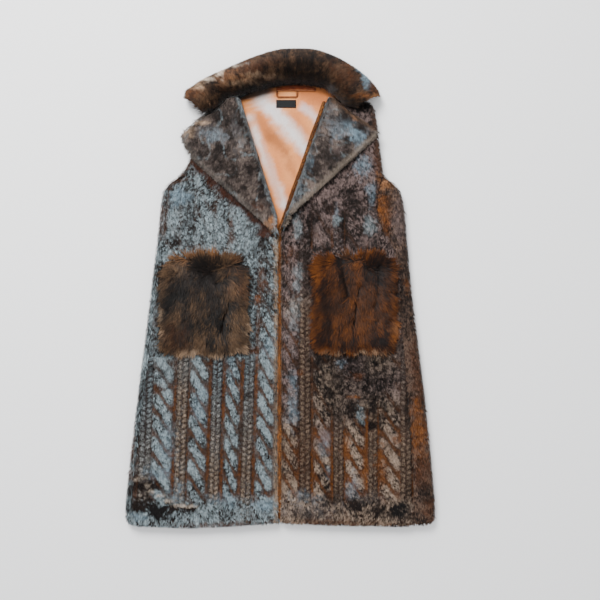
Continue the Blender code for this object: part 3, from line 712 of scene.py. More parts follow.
# Patches, as for the sides
FRONT_PATCHES = {
    -1: (
        ("blue", -195, 178, 20, 20, 0.75),
        ("brown", -198, 206, 22, 7, 0.85),
        ("brown", -222, 150, 6, 42, 0.8),
        ("brown", -178, 226, 22, 6, 0.7),
        ("dark", -200, 90, 15, 12, 1.3),
        ("black", -187, 114, 6, 5, 0.7),
        ("dark", -162, 108, 5, 8, 0.8),
        ("dark", -148, 88, 7, 7, 0.8),
        ("brown", -168, 78, 24, 5, 0.6),
        ("dark", -221, 30, 10, 16, 1.1),
        ("black", -230, 0, 7, 14, 0.7),
        ("brown", -240, -60, 12, 24, 0.4),
        ("brown", -92, 104, 6, 34, 0.75),
        ("frost", -66, 90, 16, 40, 0.4),
        ("frost", -120, 110, 20, 24, 0.4),
        ("dark", -31, 80, 9, 24, 1.0),
        ("brown", -31, 12, 9, 20, 0.8),
        ("dark", -15, -31, 7, 14, 0.85),
        ("rust", -42, -23, 6, 8, 0.9),
        ("rust", -48, -117, 13, 6, 0.9),
        ("dark", -48, -117, 4, 4, 0.9),
        ("blue", -24, -112, 14, 18, 0.5),
        ("dark", -252, -152, 12, 10, 0.85),
        ("dark", -219, -160, 13, 10, 0.85),
        ("dark", -200, -177, 12, 8, 0.7),
        ("brown", -233, -195, 11, 9, 0.8),
        ("dark", -64, -203, 12, 7, 0.8),
        ("blue", -214, -300, 18, 46, 0.4),
        ("blue", -152, -225, 14, 44, 0.45),
        ("blue", -96, -160, 12, 36, 0.3),
        ("blue", -232, -352, 24, 14, 0.5),
        ("dark", -243, -377, 32, 10, 1.6),
        ("dark", -284, -378, 12, 14, 1.6),
        ("black", -236, -421, 30, 19, 1.7),
        ("dark", -270, -416, 22, 20, 1.6),
        ("dark", -200, -421, 14, 10, 1.5),
        ("dark", -168, -421, 18, 7, 1.5),
        ("cream", -281, -366, 11, 2.4, 0.6),
        ("cream", -262, -362, 9, 2.4, 0.5),
        ("cream", -252, -377, 5, 4, 0.6),
        ("cream", -243, -386, 7, 3.4, 0.65),
        ("cream", -230, -395, 9, 3.2, 0.7),
        ("cream", -215, -405, 9, 3.0, 0.7),
        ("cream", -197, -413, 12, 2.4, 0.7),
        ("cream", -168, -415, 18, 2.2, 0.65),
        ("blue", -196, -384, 14, 20, 0.5),
        ("blue", -271, -436, 16, 8, 0.7),
        ("blue", -110, -404, 34, 14, 0.4),
        ("blue", -31, -418, 16, 12, 0.7),
        ("dark", -105, -432, 12, 7, 0.9),
        ("brown", -26, -391, 13, 7, 0.9),
        ("brown", -100, -452, 90, 6, 0.7),
    ),
    1: (
        ("blue", 155, 228, 16, 22, 0.6),
        ("blue", 173, 182, 10, 22, 0.6),
        ("blue", 108, 146, 5, 18, 0.35),
        ("brown", 186, 270, 9, 60, 0.85),
        ("tan", 192, 208, 10, 10, 0.7),
        # Painted shadow: the black patch below darkens the front under the collar's right tip.
        ("black", 162, 344, 30, 13, 1.4),
        ("dark", 176, 318, 10, 20, 1.0),
        ("orange", 194, 160, 9, 24, 0.8),
        ("dark", 100, -407, 16, 12, 0.9),
        ("brown", 200, -330, 14, 56, 0.35),
        ("grey", 62, -424, 60, 22, 0.4),
        ("grey", 170, -400, 40, 18, 0.3),
        ("dark", 196, -428, 22, 9, 0.8),
        ("dark", 42, -438, 26, 8, 0.6),
        ("dark", 95, 154, 15, 15, 1.2),
        ("dark", 58, 118, 12, 34, 1.1),
        ("dark", 145, 164, 22, 22, 1.3),
        ("dark", 121, 116, 12, 30, 1.1),
        ("dark", 140, 88, 20, 16, 0.75),
        ("dark", 86, 112, 9, 20, 0.7),
        ("frost", 105, 128, 8, 11, 0.5),
        ("violet", 74, 97, 9, 22, 0.8),
        ("frost", 170, 122, 11, 17, 0.4),
        ("violet", 160, 84, 14, 12, 0.6),
        ("frost", 33, 114, 8, 24, 0.45),
        ("dark", 46, 66, 10, 30, 0.7),
        ("brown", 19, 62, 13, 14, 0.85),
        ("frost", 34, 24, 9, 22, 0.4),
        ("dark", 52, 20, 7, 50, 0.7),
        ("frost", 26, -50, 12, 40, 0.35),
        ("dark", 20, -12, 4, 18, 0.6),
        ("dark", 74, -137, 15, 16, 1.2),
        ("dark", 96, -201, 27, 5, 0.85),
        ("dark", 108, -172, 6, 18, 0.7),
        ("blue", 23, -172, 10, 16, 0.5),
        ("blue", 24, -232, 11, 32, 0.5),
        ("blue", 116, -148, 9, 8, 0.6),
        ("rust", 36, -162, 6, 6, 0.8),
        ("brown", 144, -167, 16, 8, 0.9),
        ("orange", 136, -207, 12, 3.5, 0.85),
        ("dark", 112, -243, 10, 9, 0.9),
        ("dark", 136, -230, 9, 13, 1.4),
        ("dark", 164, -260, 19, 12, 1.4),
        ("dark", 176, -218, 8, 17, 1.3),
        ("frost", 155, -240, 9, 15, 0.5),
        ("black", 203, -228, 6, 7, 0.9),
        ("dark", 198, -124, 11, 12, 0.9),
        ("dark", 243, -228, 7, 44, 0.8),
        ("dark", 232, -120, 12, 24, 0.6),
        ("brown", 240, -60, 14, 40, 0.5),
        ("rust", 67, -270, 5, 14, 0.8),
        ("orange", 126, -302, 8, 22, 0.7),
        ("orange", 162, -352, 6, 34, 0.75),
        ("orange", 192, -340, 9, 36, 0.65),
        ("rust", 222, -286, 10, 10, 0.75),
        ("blue", 84, -300, 9, 20, 0.4),
        ("blue", 90, -350, 5, 14, 0.35),
        ("blue", 140, -374, 12, 26, 0.4),
        ("brown", 36, -330, 36, 60, 0.35),
        ("blue", 40, -398, 30, 14, 0.4),
        ("dark", 94, -407, 13, 15, 0.8),
        ("dark", 141, -415, 14, 12, 1.3),
        ("dark", 187, -418, 16, 14, 0.9),
        ("black", 226, -424, 20, 14, 1.3),
        ("dark", 250, -386, 16, 14, 0.7),
        ("brown", 120, -450, 100, 5, 0.7),
    ),
}

# Soft folds: each a line's start and end, its half width and its height in millimetres
FRONT_FOLDS = table(
    "start_x start_y end_x end_y width height",
    (-200, 150, -160, 60, 16, 0.8),
    (-120, 120, -60, 70, 18, -0.7),
    (-250, -120, -190, -190, 22, 0.9),
    (-180, -130, -240, -260, 26, -0.8),
    (-60, -100, -30, -220, 20, 0.7),
    (-280, -390, -150, -402, 12, 1.0),
    (-150, -400, -40, -410, 14, 0.8),
    (-270, -425, -190, -432, 12, -0.9),
    (60, 130, 130, 90, 18, 0.8),
    (150, 120, 200, 60, 20, -0.8),
    (30, 40, 50, -90, 18, 0.6),
    (90, -150, 210, -200, 24, 0.8),
    (60, -250, 190, -262, 18, -0.7),
    (20, -390, 150, -400, 16, 0.9),
    (120, -424, 240, -415, 14, -0.8),
)


def roll_line(side, y):
    """The x of a lapel's roll line at height y; side is -1 for the left and 1 for the right."""
    return np.interp(y, ROLL_LINES[side]["y"], ROLL_LINES[side]["x"])


def front_edges(side, y):
    """A front's lowest and highest x at height y: its side seam or armhole, and its front edge or roll."""
    name = "left" if side < 0 else "right"
    seam = np.maximum(at(OUTLINE, "wrap_" + name, y), ROLL + SEAM) + SEAM
    clear = np.where(y < ARMHOLE_FOOT, seam, ARMHOLE_RIM)
    outer = at(OUTLINE, name, y) - side * (clear + hem_inset(y))
    rolled = roll_line(side, y) + side * (NOSE + 2 * SEAM)
    inner = np.where(y >= LAPELS[side]["y"][0], rolled, FRONT_EDGE[side])
    return (outer, inner) if side < 0 else (inner, outer)


def crispness(x, y, side):
    """How sharply the cables are pressed: most from the pockets to near the hem, least at chest and hem."""
    level = np.interp(y, [-0.415, -0.385, -0.19, -0.10, 0.06, 0.18], [0.10, 1.0, 0.92, 0.66, 0.38, 0.15])
    return np.clip(level + blotches(x, y, (0.4, 0.045, 21 + side)), 0.08, 1)


def bubbles(x, y):
    """Puffed lumps below the right pocket: the share of the field at each place, and a lump's roundness.

    The lumps are the humps of two crossed sines, their lattice pushed about by noise."""
    field = BUBBLE_FIELD
    reach = np.hypot((x - field["x"]) / field["half_x"], (y - field["y"]) / field["half_y"])
    share = np.clip(2.2 * (1.15 - reach + blotches(x, y, (0.5, 0.03, 36))), 0, 1)
    pushed_x = x + blotches(x, y, (0.010, 0.02, 37))
    pushed_y = y + blotches(x, y, (0.012, 0.02, 38)) + 0.5 * BUBBLE * (np.floor(pushed_x / BUBBLE) % 2)
    lump = np.abs(np.sin(np.pi * pushed_x / BUBBLE) * np.sin(np.pi * pushed_y / BUBBLE)) ** 0.6
    return share, lump


def across_column(column, span, spread=1.0):
    """Where a place lies across a column of the pattern: -1 at its left edge and 1 at its right edge."""
    start, end = span
    return (2 * column - start - end) / (end - start) / spread


def cables(x, y, side):
    """The pressed pile: its height in metres, and the shares of rope lobe, stitch and gutter at each place.

    A rope's lobes are the humps of a sine along y, shifted by a sine across the rope, so that they slant
    down to the right. A braid has two columns of stitches, half a pitch apart, each a hump both ways."""
    column = x - SLANT[side] * (y - CABLE_ROW)
    height = np.full_like(x, -GUTTER_DEPTH)
    lobe, stitch, gutter = np.zeros_like(x), np.zeros_like(x), np.ones_like(x)
    gutter = gutter * (column * side > min(abs(BRAIDS[side]["start"][0]), abs(ROPES[side]["end"][-1])))
    for span in zip(*ROPES[side].values()):
        u = across_column(column, span, COLUMN_SPREAD)
        inside = np.abs(u) < 1
        turn = ROPE_TWIST / 2 * np.sin(np.pi / 2 * np.clip(u, -1, 1))
        wave = np.abs(np.sin(np.pi * (y / ROPE_PITCH + turn)))
        body = np.clip((wave - 0.38) / 0.62, 0, 1) ** 0.6 * np.clip(1 - u * u, 0, 1) ** 0.6
        height = np.where(inside, ROPE_HEIGHT * (0.10 + 0.95 * body) * (1 - u**4), height)
        lobe = np.where(inside, body, lobe)
        gutter = np.where(inside, 0.45 * np.clip(1 - 4 * body, 0, 1), gutter)
    for span in zip(*BRAIDS[side].values()):
        u = across_column(column, span, COLUMN_SPREAD)
        inside = np.abs(u) < 1
        phase = y / BRAID_PITCH + 0.5 * (u > 0) - 0.45 * np.abs(u)
        knot = np.abs(np.sin(np.pi * phase)) ** 0.9 * np.abs(np.sin(np.pi * np.clip(u, -1, 1))) ** 0.8
        height = np.where(inside, BRAID_HEIGHT * (0.2 * (1 - u**2) + knot), height)
        stitch = np.where(inside, knot, stitch)
        gutter = np.where(inside, 0, gutter)
    if side > 0:
        share, lump = bubbles(x, y)
        height = height * (1 - share) + (BUBBLE_HEIGHT * lump - 0.0004) * share
        lobe = lobe * (1 - share) + lump * share
        stitch = stitch * (share < 0.5)
        gutter = gutter * (1 - share)
    return height, lobe, stitch, gutter


def past_pocket(x, y, side):
    """How far a place lies beyond the nearest edge of that side's pocket; within it, this is negative."""
    pocket = POCKETS[side]
    past_x = np.abs(x - pocket["x"]) - pocket["half_width"]
    past_y = np.abs(y - pocket["y"]) - pocket["half_height"]
    return np.maximum(past_x, past_y)


def plain_share(x, y, side):
    """1 where a lapel, the collar or a pocket presses the cables flat, fading to 0 outside its margin."""
    lapel = LAPELS[side]
    reach = at(lapel, "outer", y) * side + PLAIN_MARGIN
    beyond = np.clip((x * side - reach) / FADE, 0, 1)
    below = np.clip((lapel["y"][0] - PLAIN_MARGIN - y) / FADE, 0, 1)
    under_lapel = 1 - np.maximum(beyond, below)
    under_pocket = 1 - np.clip((past_pocket(x, y, side) - PLAIN_MARGIN) / FADE, 0, 1)
    shoulder = np.clip((y - SHOULDER_PLAIN) / FADE, 0, 1)
    return np.maximum(np.maximum(under_lapel, under_pocket), shoulder)


def front_height(x, y, side):
    """The height of a front's cloth: the pressed cables and the soft folds, rounded down at all edges."""
    low, high = front_edges(side, y)
    from_edge = np.minimum(np.minimum(x - low, high - x), y - HEM_Y)
    full = np.interp(from_edge, [0, 0.001, 0.003, 0.008], [0.35, 0.6, 0.88, 1])
    pressed = cables(x, y, side)[0] * (1 - plain_share(x, y, side)) * crispness(x, y, side)
    body = FUR - PILE_DEPTH + pressed + fold_height(x, y, FRONT_FOLDS)
    return FRONT_BASE + body * full


def front_skin(side):
    """A front's grid: rows from hem to shoulder, closer columns near both edges, and a rim at its foot."""
    top = LAPELS[side]["y"][-1]
    near_hem = HEM_Y + np.array([0, 0.001, 0.003, 0.008])
    y = np.concatenate([near_hem, np.arange(HEM_Y + 0.012, top, FRONT_ROW_GAP), [top]])[:, None]
    low, high = front_edges(side, y)
    inner = np.linspace(0.03, 0.97, FRONT_COLUMNS)
    share = np.concatenate([[0, 0.004, 0.012], inner, [0.988, 0.996, 1]])
    x = low + (high - low) * share
    z = front_height(x, np.broadcast_to(y, x.shape), side)
    skin = np.stack([x, y + hem_bend(x, y), z], axis=-1)
    skin = np.concatenate([skin[:, :1], skin, skin[:, -1:]], axis=1)
    skin = np.concatenate([skin[:1], skin], axis=0)
    skin[0, :, 2] = skin[:, 0, 2] = skin[:, -1, 2] = FRONT_BASE + 0.0003
    return skin


FRONT_LOOK = {
    -1: dict(
        frosted=0.55,
        stitch=tone(198, 180, 162),
        grey_stitch=TONES["frost"] * 0.8,
        gutter=TONES["rust"],
        gutter_level=-0.50,
        shade_reach=0.0074,
        rim_reach=0.0065,
        rim=0.65,
    ),
    1: dict(
        frosted=0.49,
        stitch=tone(172, 152, 134),
        grey_stitch=TONES["grey"],
        gutter=TONES["orange"] * 1.1,
        gutter_level=-0.20,
        shade_reach=0.0096,
        rim_reach=0.0020,
        rim=0.2,
    ),
}


def front_dye(x, y, side, rng):
    """The tips' dye: frosted lobes, beige stitches on dark, rust gutters, patches, and a paler front edge,
    with painted shade in the grooves between lobes and painted shadows under the lapel's edge, round the
    pocket and under the collar's tip.
    """
    look = FRONT_LOOK[side]
    _, lobe, stitch, gutter = cables(x, y, side)
    crisp = crispness(x, y, side) * (1 - plain_share(x, y, side))
    if side < 0:
        light, dark, sunken_tone = TONES["frost"], TONES["dark"], tone(120, 102, 92)
    else:
        taupe = np.clip(1.6 * cloud(x, y, 0.05, 29) - 0.3 - (y + 0.2) * 3, 0, 1)
        light = mix(TONES["violet"] * 1.38, tone(190, 172, 156), taupe)
        dark = TONES["dark"] * 0.7
        ochre = np.clip(2.6 * cloud(x, y, 0.03, 35) - 0.8, 0, 0.9) * (y < -0.28)
        sunken_tone = mix(tone(84, 64, 52), tone(140, 92, 44), ochre)
    # The rope lobes run lighter on their crests: partly the pile's own frosting, partly painted light on the
    # crests.
    middle = look["frosted"] + crisp * (0.44 * lobe**0.7 - 0.26)
    middle = middle + crisp * blotches(x, y, (0.5, 0.014, 33))
    colours = frosted(x, y, dark, light, middle, rng)
    # The grooves between lobes run darker: partly their own darker dye, partly painted shade in the grooves.
    groove_colour_and_shade = 0.8 * crisp * np.clip(1.5 - 2.6 * lobe, 0, 1) * (stitch == 0)
    colours = mix(colours, sunken_tone * (0.4 + 0.8 * cloud(x, y, 0.004, 24))[:, None], groove_colour_and_shade)
    greyness = cloud(x, y * 0.3, 0.06, 25) * 2.0 - 0.8 + (y + 0.2) * 5 + 0.7 * (x < -0.225)
    stitch_tone = mix(look["stitch"], look["grey_stitch"], np.clip(greyness, 0, 1))
    stitch_tone = stitch_tone * (0.5 + 0.9 * cloud(x, y, 0.0045, 30))[:, None]
    plait = mix(tone(74, 46, 32), stitch_tone, stitch**1.5)
    colours = mix(colours, plait, 0.85 * np.clip(1.6 * crisp - 0.2, 0, 1) * (stitch > 0))
    if side > 0:
        colours = colours * (1 - 0.5 * bubbles(x, y)[0])[:, None]
    colours = patched(colours, x, y, FRONT_PATCHES[side])
    rust = np.clip(2.4 * cloud(x, y * 0.5, 0.03, 23) + look["gutter_level"], 0.05, 0.85)
    rust = np.clip(crisp * 1.3 - 0.3, 0, 1) * gutter * rust
    colours = mix(colours, look["gutter"] * (0.25 + 0.95 * cloud(x, y, 0.0038, 26))[:, None], rust)
    from_lapel = (x - at(LAPELS[side], "outer", y)) * side
    beside = (y > LAPELS[side]["y"][0] - 0.008) & (y < 0.29)
    if side < 0:
        warm = 2.2 - from_lapel / 0.0165 + blotches(x, y, (1.5, 0.016, 27))
        warm_tone = tone(100, 60, 32) * (0.5 + 0.8 * cloud(x, y, 0.0042, 34))[:, None]
        colours = mix(colours, warm_tone, 0.95 * beside * np.clip(warm, 0, 1))
    # Painted shadow: the front turns black just under the lapel's free edge and fades out below it.
    shaded = 1.6 - from_lapel / look["shade_reach"] + blotches(x, y, (0.6, 0.006, 32))
    shaded = 0.96 * beside * np.clip(shaded, 0, 1)
    # Painted shadow: the front darkens next to the pocket's fringe, at its sides and below it.
    pocket_shadow = 0.8 * np.clip(1.1 - past_pocket(x, y, side) / 0.011, 0, 1)
    pocket_shadow = pocket_shadow * (y < POCKETS[side]["y"] + 0.07)
    colours = colours * (1 - np.maximum(shaded, pocket_shadow)[:, None])
    low, high = front_edges(side, y)
    from_front, from_outer = (high - x, x - low) if side < 0 else (x - low, high - x)
    brown = 0.85 * np.clip(1.4 - from_outer / 0.0055, 0, 1) * (y > 0.10)
    colours = mix(colours, tone(108, 80, 60), brown)
    rim = np.clip(1.4 - from_front / look["rim_reach"], 0, 1) * (y < LAPELS[side]["y"][0] + 0.01)
    rim = rim * look["rim"] * np.clip(2.0 * cloud(x, y, 0.0035, 28) - 0.3, 0, 1)
    return mix(colours, TONES["beige"], rim)


def front_places(side, count, rng):
    """Where a front's pile shows: places even over its outline, less what its pocket and lapel hide."""
    lapel = LAPELS[side]
    y = rng.uniform(HEM_Y + 0.0005, lapel["y"][-1], 3 * count)
    low, high = front_edges(side, y)
    x = rng.uniform(low.min(), high.max(), 3 * count)
    behind_pocket = past_pocket(x, y, side) < -HIDDEN_MARGIN
    behind_lapel = (x * side < at(lapel, "outer", y) * side - HIDDEN_MARGIN) & (y > lapel["y"][0] + 0.01)
    shown = (x > low) & (x < high) & ~behind_pocket & ~behind_lapel
    return x[shown][:count], y[shown][:count]


def front_course(x, y, side, rng):
    """The way the pile is combed: down, aslant along a rope's lobes, and in towards a braid's middle."""
    column = x - SLANT[side] * (y - CABLE_ROW)
    aside = np.zeros_like(x)
    for span in zip(*ROPES[side].values()):
        u = across_column(column, span)
        aside = np.where(np.abs(u) < 1, 0.55 * np.cos(np.pi / 2 * np.clip(u, -1, 1)), aside)
    for span in zip(*BRAIDS[side].values()):
        u = across_column(column, span)
        aside = np.where(np.abs(u) < 1, -0.5 * np.sign(u), aside)
    aside = aside * crispness(x, y, side)
    swirl = blotches(x, y, (1.6, 0.03, 31)) * (1.15 - crispness(x, y, side))
    course = np.c_[aside + swirl, -np.ones(len(x)), np.zeros(len(x))]
    course[:, 0] += rng.normal(0, 0.5, len(x))
    course[:, 1] += rng.normal(0, 0.35, len(x))
    return course


def slopes(height, x, y, side):
    """Unit normals of a height function, from its differences over half a millimetre each way."""
    step = 0.0005
    across = (height(x + step, y, side) - height(x - step, y, side)) / (2 * step)
    along = (height(x, y + step, side) - height(x, y - step, side)) / (2 * step)
    return unit(np.c_[-np.clip(across, -1.2, 1.2), -np.clip(along, -1.2, 1.2), np.ones(len(x))])


FRONT_STRANDS = 70000

for side, name in ((-1, "front_left"), (1, "front_right")):
    skin = front_skin(side)
    flat = skin.reshape(-1, 3)
    shell_dye = front_dye(flat[:, 0], flat[:, 1], side, rng).reshape(skin.shape) * 0.4
    shell = cloth_shell(name + "_cloth", skin, shell_dye, underfur_finish)
    x, y = front_places(side, FRONT_STRANDS, rng)
    crisp = crispness(x, y, side) * (1 - plain_share(x, y, side))
    plaited = cables(x, y, side)[2] > 0
    roots = np.c_[x, y + hem_bend(x, y), front_height(x, y, side)]
    normals = slopes(front_height, x, y, side)
    headings = combed(normals, front_course(x, y, side, rng))
    length = (0.0085 - 0.003 * crisp - 0.0016 * plaited * crisp) * rng.uniform(0.75, 1.25, len(x))
    length *= np.interp(y - HEM_Y, [0, 0.009], [0.35, 1])
    tips = front_dye(x + 0.6 * length * headings[:, 0], y + 0.6 * length * headings[:, 1], side, rng)
    front_pile = pile(
        name + "_pile",
        roots,
        normals,
        headings,
        length,
        (0.00135 - 0.0002 * crisp) * rng.uniform(0.8, 1.3, len(x)),
        (0.0036 - 0.0014 * crisp) * rng.uniform(0.5, 1.5, len(x)),
        tips * 0.4,
        tips,
        short_pile_finish,
    )
    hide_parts(name)


# The right front's facing: rust-brown cloth with a very short nap, whose edge shows beside the front from
# the neck to the hem. It is sewn to the front edge and turned in.
FACING_HEIGHT = 0.0058
FACING_WIDTH = 0.0055
FACING_STRANDS = 7000
FACING_BREAK = 0.116
FACING_TOP = 0.356
FACING_ROWS = 190

facing_y = np.linspace(HEM_Y + 0.008, FACING_TOP, FACING_ROWS)[:, None]
facing_roll = roll_line(1, facing_y)
facing_line = np.where(facing_y > FACING_BREAK, facing_roll, np.minimum(facing_roll, FRONT_EDGE[1]))
facing_across = np.array([0, 0, 0.12, 0.3, 0.55, 0.8, 0.93, 1, 1])
facing_crown = np.array([0.02, 0.5, 0.78, 0.93, 1, 0.95, 0.8, 0.6, 0.02])
facing_x = facing_line - 2 * SEAM - FACING_WIDTH * (1 - facing_across) + 0.0004 * np.sin(facing_y * 60)
facing_z = np.broadcast_to(FRONT_BASE + (FACING_HEIGHT - 0.001) * facing_crown, facing_x.shape)
facing_skin = np.stack([facing_x, facing_y + hem_bend(facing_x, facing_y), facing_z], axis=-1)
facing_finish = fur_finish("rust_facing", 0.8, 0.1, grain=500, bump=0.0006)
facing = cloth_shell(
    "facing_right_cloth",
    facing_skin,
    tone(92, 56, 34),
    facing_finish,
    thickness=0.0012,
)
facing_roots, facing_normals, facing_from_gap, _ = plant(facing_skin, FACING_STRANDS, rng)
facing_share = np.clip(0.5 + blotches(facing_roots[:, 0], facing_roots[:, 1], (0.9, 0.02, 51)), 0, 1)
facing_tips = mix(tone(128, 88, 54), tone(214, 158, 104), facing_share)
# Painted shadow: the facing's nap darkens towards the gap, where the left front's edge shades it.
facing_tips *= (0.45 + 0.55 * facing_from_gap)[:, None]
facing_course = np.c_[rng.normal(0, 0.3, FACING_STRANDS), -np.ones(FACING_STRANDS), np.zeros(FACING_STRANDS)]
facing_pile = pile(
    "facing_right_nap",
    facing_roots,
    facing_normals,
    combed(facing_normals, facing_course),
    rng.uniform(0.003, 0.005, FACING_STRANDS),
    rng.uniform(0.0006, 0.0009, FACING_STRANDS),
    rng.uniform(0.0006, 0.0012, FACING_STRANDS),
    facing_tips * 0.5,
    facing_tips,
    facing_finish,
)
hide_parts("facing_right")


# The lapels: the fronts' top edges turned back along the roll lines, in the plain deep pile of the collar.
# Their free edges are rolled and paler, and each lies with a shadow under it, which is also painted onto the
# front below its edge.
LAPEL_BASE = FRONT_TOP + SEAM
LAPEL_THICKNESS = 0.0115
NOSE_SHARE = 0.5
DEEP_PILE = 0.0034

# A lapel's thickness from the free edge to the fold, both as shares
LAPEL_ACROSS = (0, 0.06, 0.2, 0.4, 0.6, 0.8, 1.0)
LAPEL_SWELL = (0.42, 0.85, 1.0, 1.02, 1.0, 1.05, 1.08)
LAPEL_EDGE = {
    -1: dict(reach=0.010, share=0.4, tone=tone(146, 140, 134)),
    1: dict(reach=0.011, share=0.7, tone=tone(166, 154, 142)),
}

# Patches, as for the sides
LAPEL_PATCHES = {
    -1: (
        ("grey", -126, 290, 30, 18, 0.7),
        ("blue", -124, 288, 20, 13, 0.35),
        ("beige", -172, 296, 10, 14, 0.6),
        ("beige", -160, 312, 22, 4, 0.7),
        ("grey", -84, 290, 8, 30, 0.6),
        ("dark", -72, 330, 20, 20, 0.7),
        ("dark", -90, 236, 16, 26, 0.5),
        ("dark", -52, 216, 12, 10, 0.6),
        ("tan", -14, 122, 13, 14, 0.8),
        ("brown", -44, 150, 16, 10, 0.5),
    ),
    1: (
        ("blue", 118, 300, 26, 20, 0.5),
        ("blue", 150, 284, 16, 16, 0.6),
        ("grey", 96, 320, 20, 26, 0.5),
        ("dark", 118, 322, 14, 12, 0.7),
        ("dark", 96, 250, 30, 16, 0.75),
        ("dark", 66, 232, 18, 26, 0.75),
        ("violet", 110, 262, 14, 10, 0.4),
        ("blue", 54, 250, 8, 30, 0.3),
        ("blue", 36, 190, 7, 34, 0.3),
        ("grey", 30, 160, 10, 20, 0.5),
        ("tan", 142, 322, 8, 5, 0.7),
    ),
}


def lapel_skin(side, depth):
    """A lapel's outer skin: a leaf from its rolled free edge to the fold, then round the nose and down."""
    lapel = LAPELS[side]
    y = np.concatenate([np.linspace(lapel["y"][0], lapel["y"][-1], 110), lapel["y"][1:-1]])
    y = np.sort(y)[:, None]
    free, roll = at(lapel, "outer", y), roll_line(side, y)
    nose = side * np.minimum(NOSE, NOSE_SHARE * np.abs(free - roll))
    free = free - side * np.minimum(depth * 0.6, np.abs(free - roll) / 4)
    leaf_share = np.array([0, 0, 0.01, 0.03, 0.06, 0.1, 0.15, 0.22, 0.3, 0.4, 0.5, 0.6, 0.7, 0.8, 0.9, 1.0])
    swell = np.interp(leaf_share, LAPEL_ACROSS, LAPEL_SWELL)
    swell[0] = 0.02
    ripple = 0.06 * np.sin(y * 95) + 0.05 * np.sin(y * 41 + 1)
    leaf_x = free + (roll + nose - free) * leaf_share
    leaf_z = LAPEL_BASE + (LAPEL_THICKNESS - depth) * swell * (1 + ripple * np.sin(np.pi * leaf_share))
    angle = np.linspace(0, np.pi / 2, 8)[1:]
    top = leaf_z[:, -1:]
    nose_x = roll + nose * (1 - (1 - depth / NOSE) * np.sin(angle))
    nose_z = FRONT_BASE + (top - FRONT_BASE) * np.maximum(np.cos(angle), 0) ** 0.7
    x = np.concatenate([leaf_x, nose_x], axis=1)
    z = np.concatenate([leaf_z, nose_z], axis=1)
    skin = np.stack([x, np.broadcast_to(y, x.shape), z], axis=-1)
    return skin if side < 0 else skin[:, ::-1]


def lapel_dye(places, side, rng):
    """A lapel's tips: dark brown with grey frosting, veins of pale wisps, and a paler rolled edge."""
    x, y = places[:, 0], places[:, 1]
    share = 0.5 + blotches(x, y, (0.8, 0.022, 66), (0.5, 0.009, 67), (0.6, 0.0036, 68))
    share = share + 0.4 * (rng.random(len(x)) - 0.5)
    colours = mix(tone(50, 36, 30), tone(158, 144, 136), np.clip(share, 0, 1) ** 1.9)
    wisp = np.abs(cloud(x, y * 0.7, 0.022, 61 + side) - 0.5) + 0.16 * cloud(x, y, 0.0036, 63)
    wisp = 0.9 * np.clip(1 - wisp / 0.14, 0, 1) * np.clip(0.3 + cloud(x, y, 0.03, 62), 0, 1)
    colours = mix(colours, TONES["frost"] * 0.85, wisp)
    colours = patched(colours, x, y, LAPEL_PATCHES[side])
    speckle = blotches(x, y, (0.9, 0.0035, 64))
    from_free = (at(LAPELS[side], "outer", y) - x) * side
    from_roll = (x - roll_line(side, y)) * side
    free_edge = LAPEL_EDGE[side]
    edge = np.clip(1.25 - from_free / free_edge["reach"] + speckle, 0, 1) * free_edge["share"]
    rolled = np.clip(1.4 - from_roll / 0.0075 + speckle, 0, 1) * 0.8
    upper = (side > 0) & (y > 0.296)
    edge_tone = np.where(upper[:, None], tone(142, 116, 94), free_edge["tone"])
    rim_tone = np.where((rolled > edge)[:, None], tone(190, 197, 200), edge_tone)
    return mix(colours, rim_tone, np.maximum(edge, rolled))


LAPEL_STRANDS = 27000
deep_pile_finish = fur_finish("deep_pile", 0.68, 0.1)
deep_underfur_finish = fur_finish("deep_underfur", 0.85, 0.05, grain=240, bump=0.0014)

for side, name in ((-1, "lapel_left"), (1, "lapel_right")):
    skin = lapel_skin(side, DEEP_PILE)
    shell_dye = lapel_dye(skin.reshape(-1, 3), side, rng).reshape(skin.shape) * 0.35
    shell = cloth_shell(name + "_cloth", skin, shell_dye, deep_underfur_finish)
    roots, normals, share, _ = plant(skin, LAPEL_STRANDS, rng)
    share = share if side < 0 else 1 - share
    swirl = blotches(roots[:, 0], roots[:, 1], (1.4, 0.03, 65))
    course = np.c_[
        side * 0.45 + swirl + rng.normal(0, 0.5, LAPEL_STRANDS),
        -np.ones(LAPEL_STRANDS) + 0.8 * (share < 0.08) + rng.normal(0, 0.3, LAPEL_STRANDS),
        np.zeros(LAPEL_STRANDS),
    ]
    headings = combed(normals, course)
    length = rng.uniform(0.007, 0.011, LAPEL_STRANDS) * np.where(share > 0.8, 0.6, 1)
    tips = lapel_dye(roots + headings * 0.6 * length[:, None], side, rng)
    lapel_pile = pile(
        name + "_pile",
        roots,
        normals,
        headings,
        length,
        rng.uniform(0.0009, 0.0014, LAPEL_STRANDS),
        rng.uniform(0.0024, 0.0048, LAPEL_STRANDS) * np.where(share > 0.8, 0.6, 1),
        tips * 0.28,
        tips,
        deep_pile_finish,
    )
    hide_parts(name)


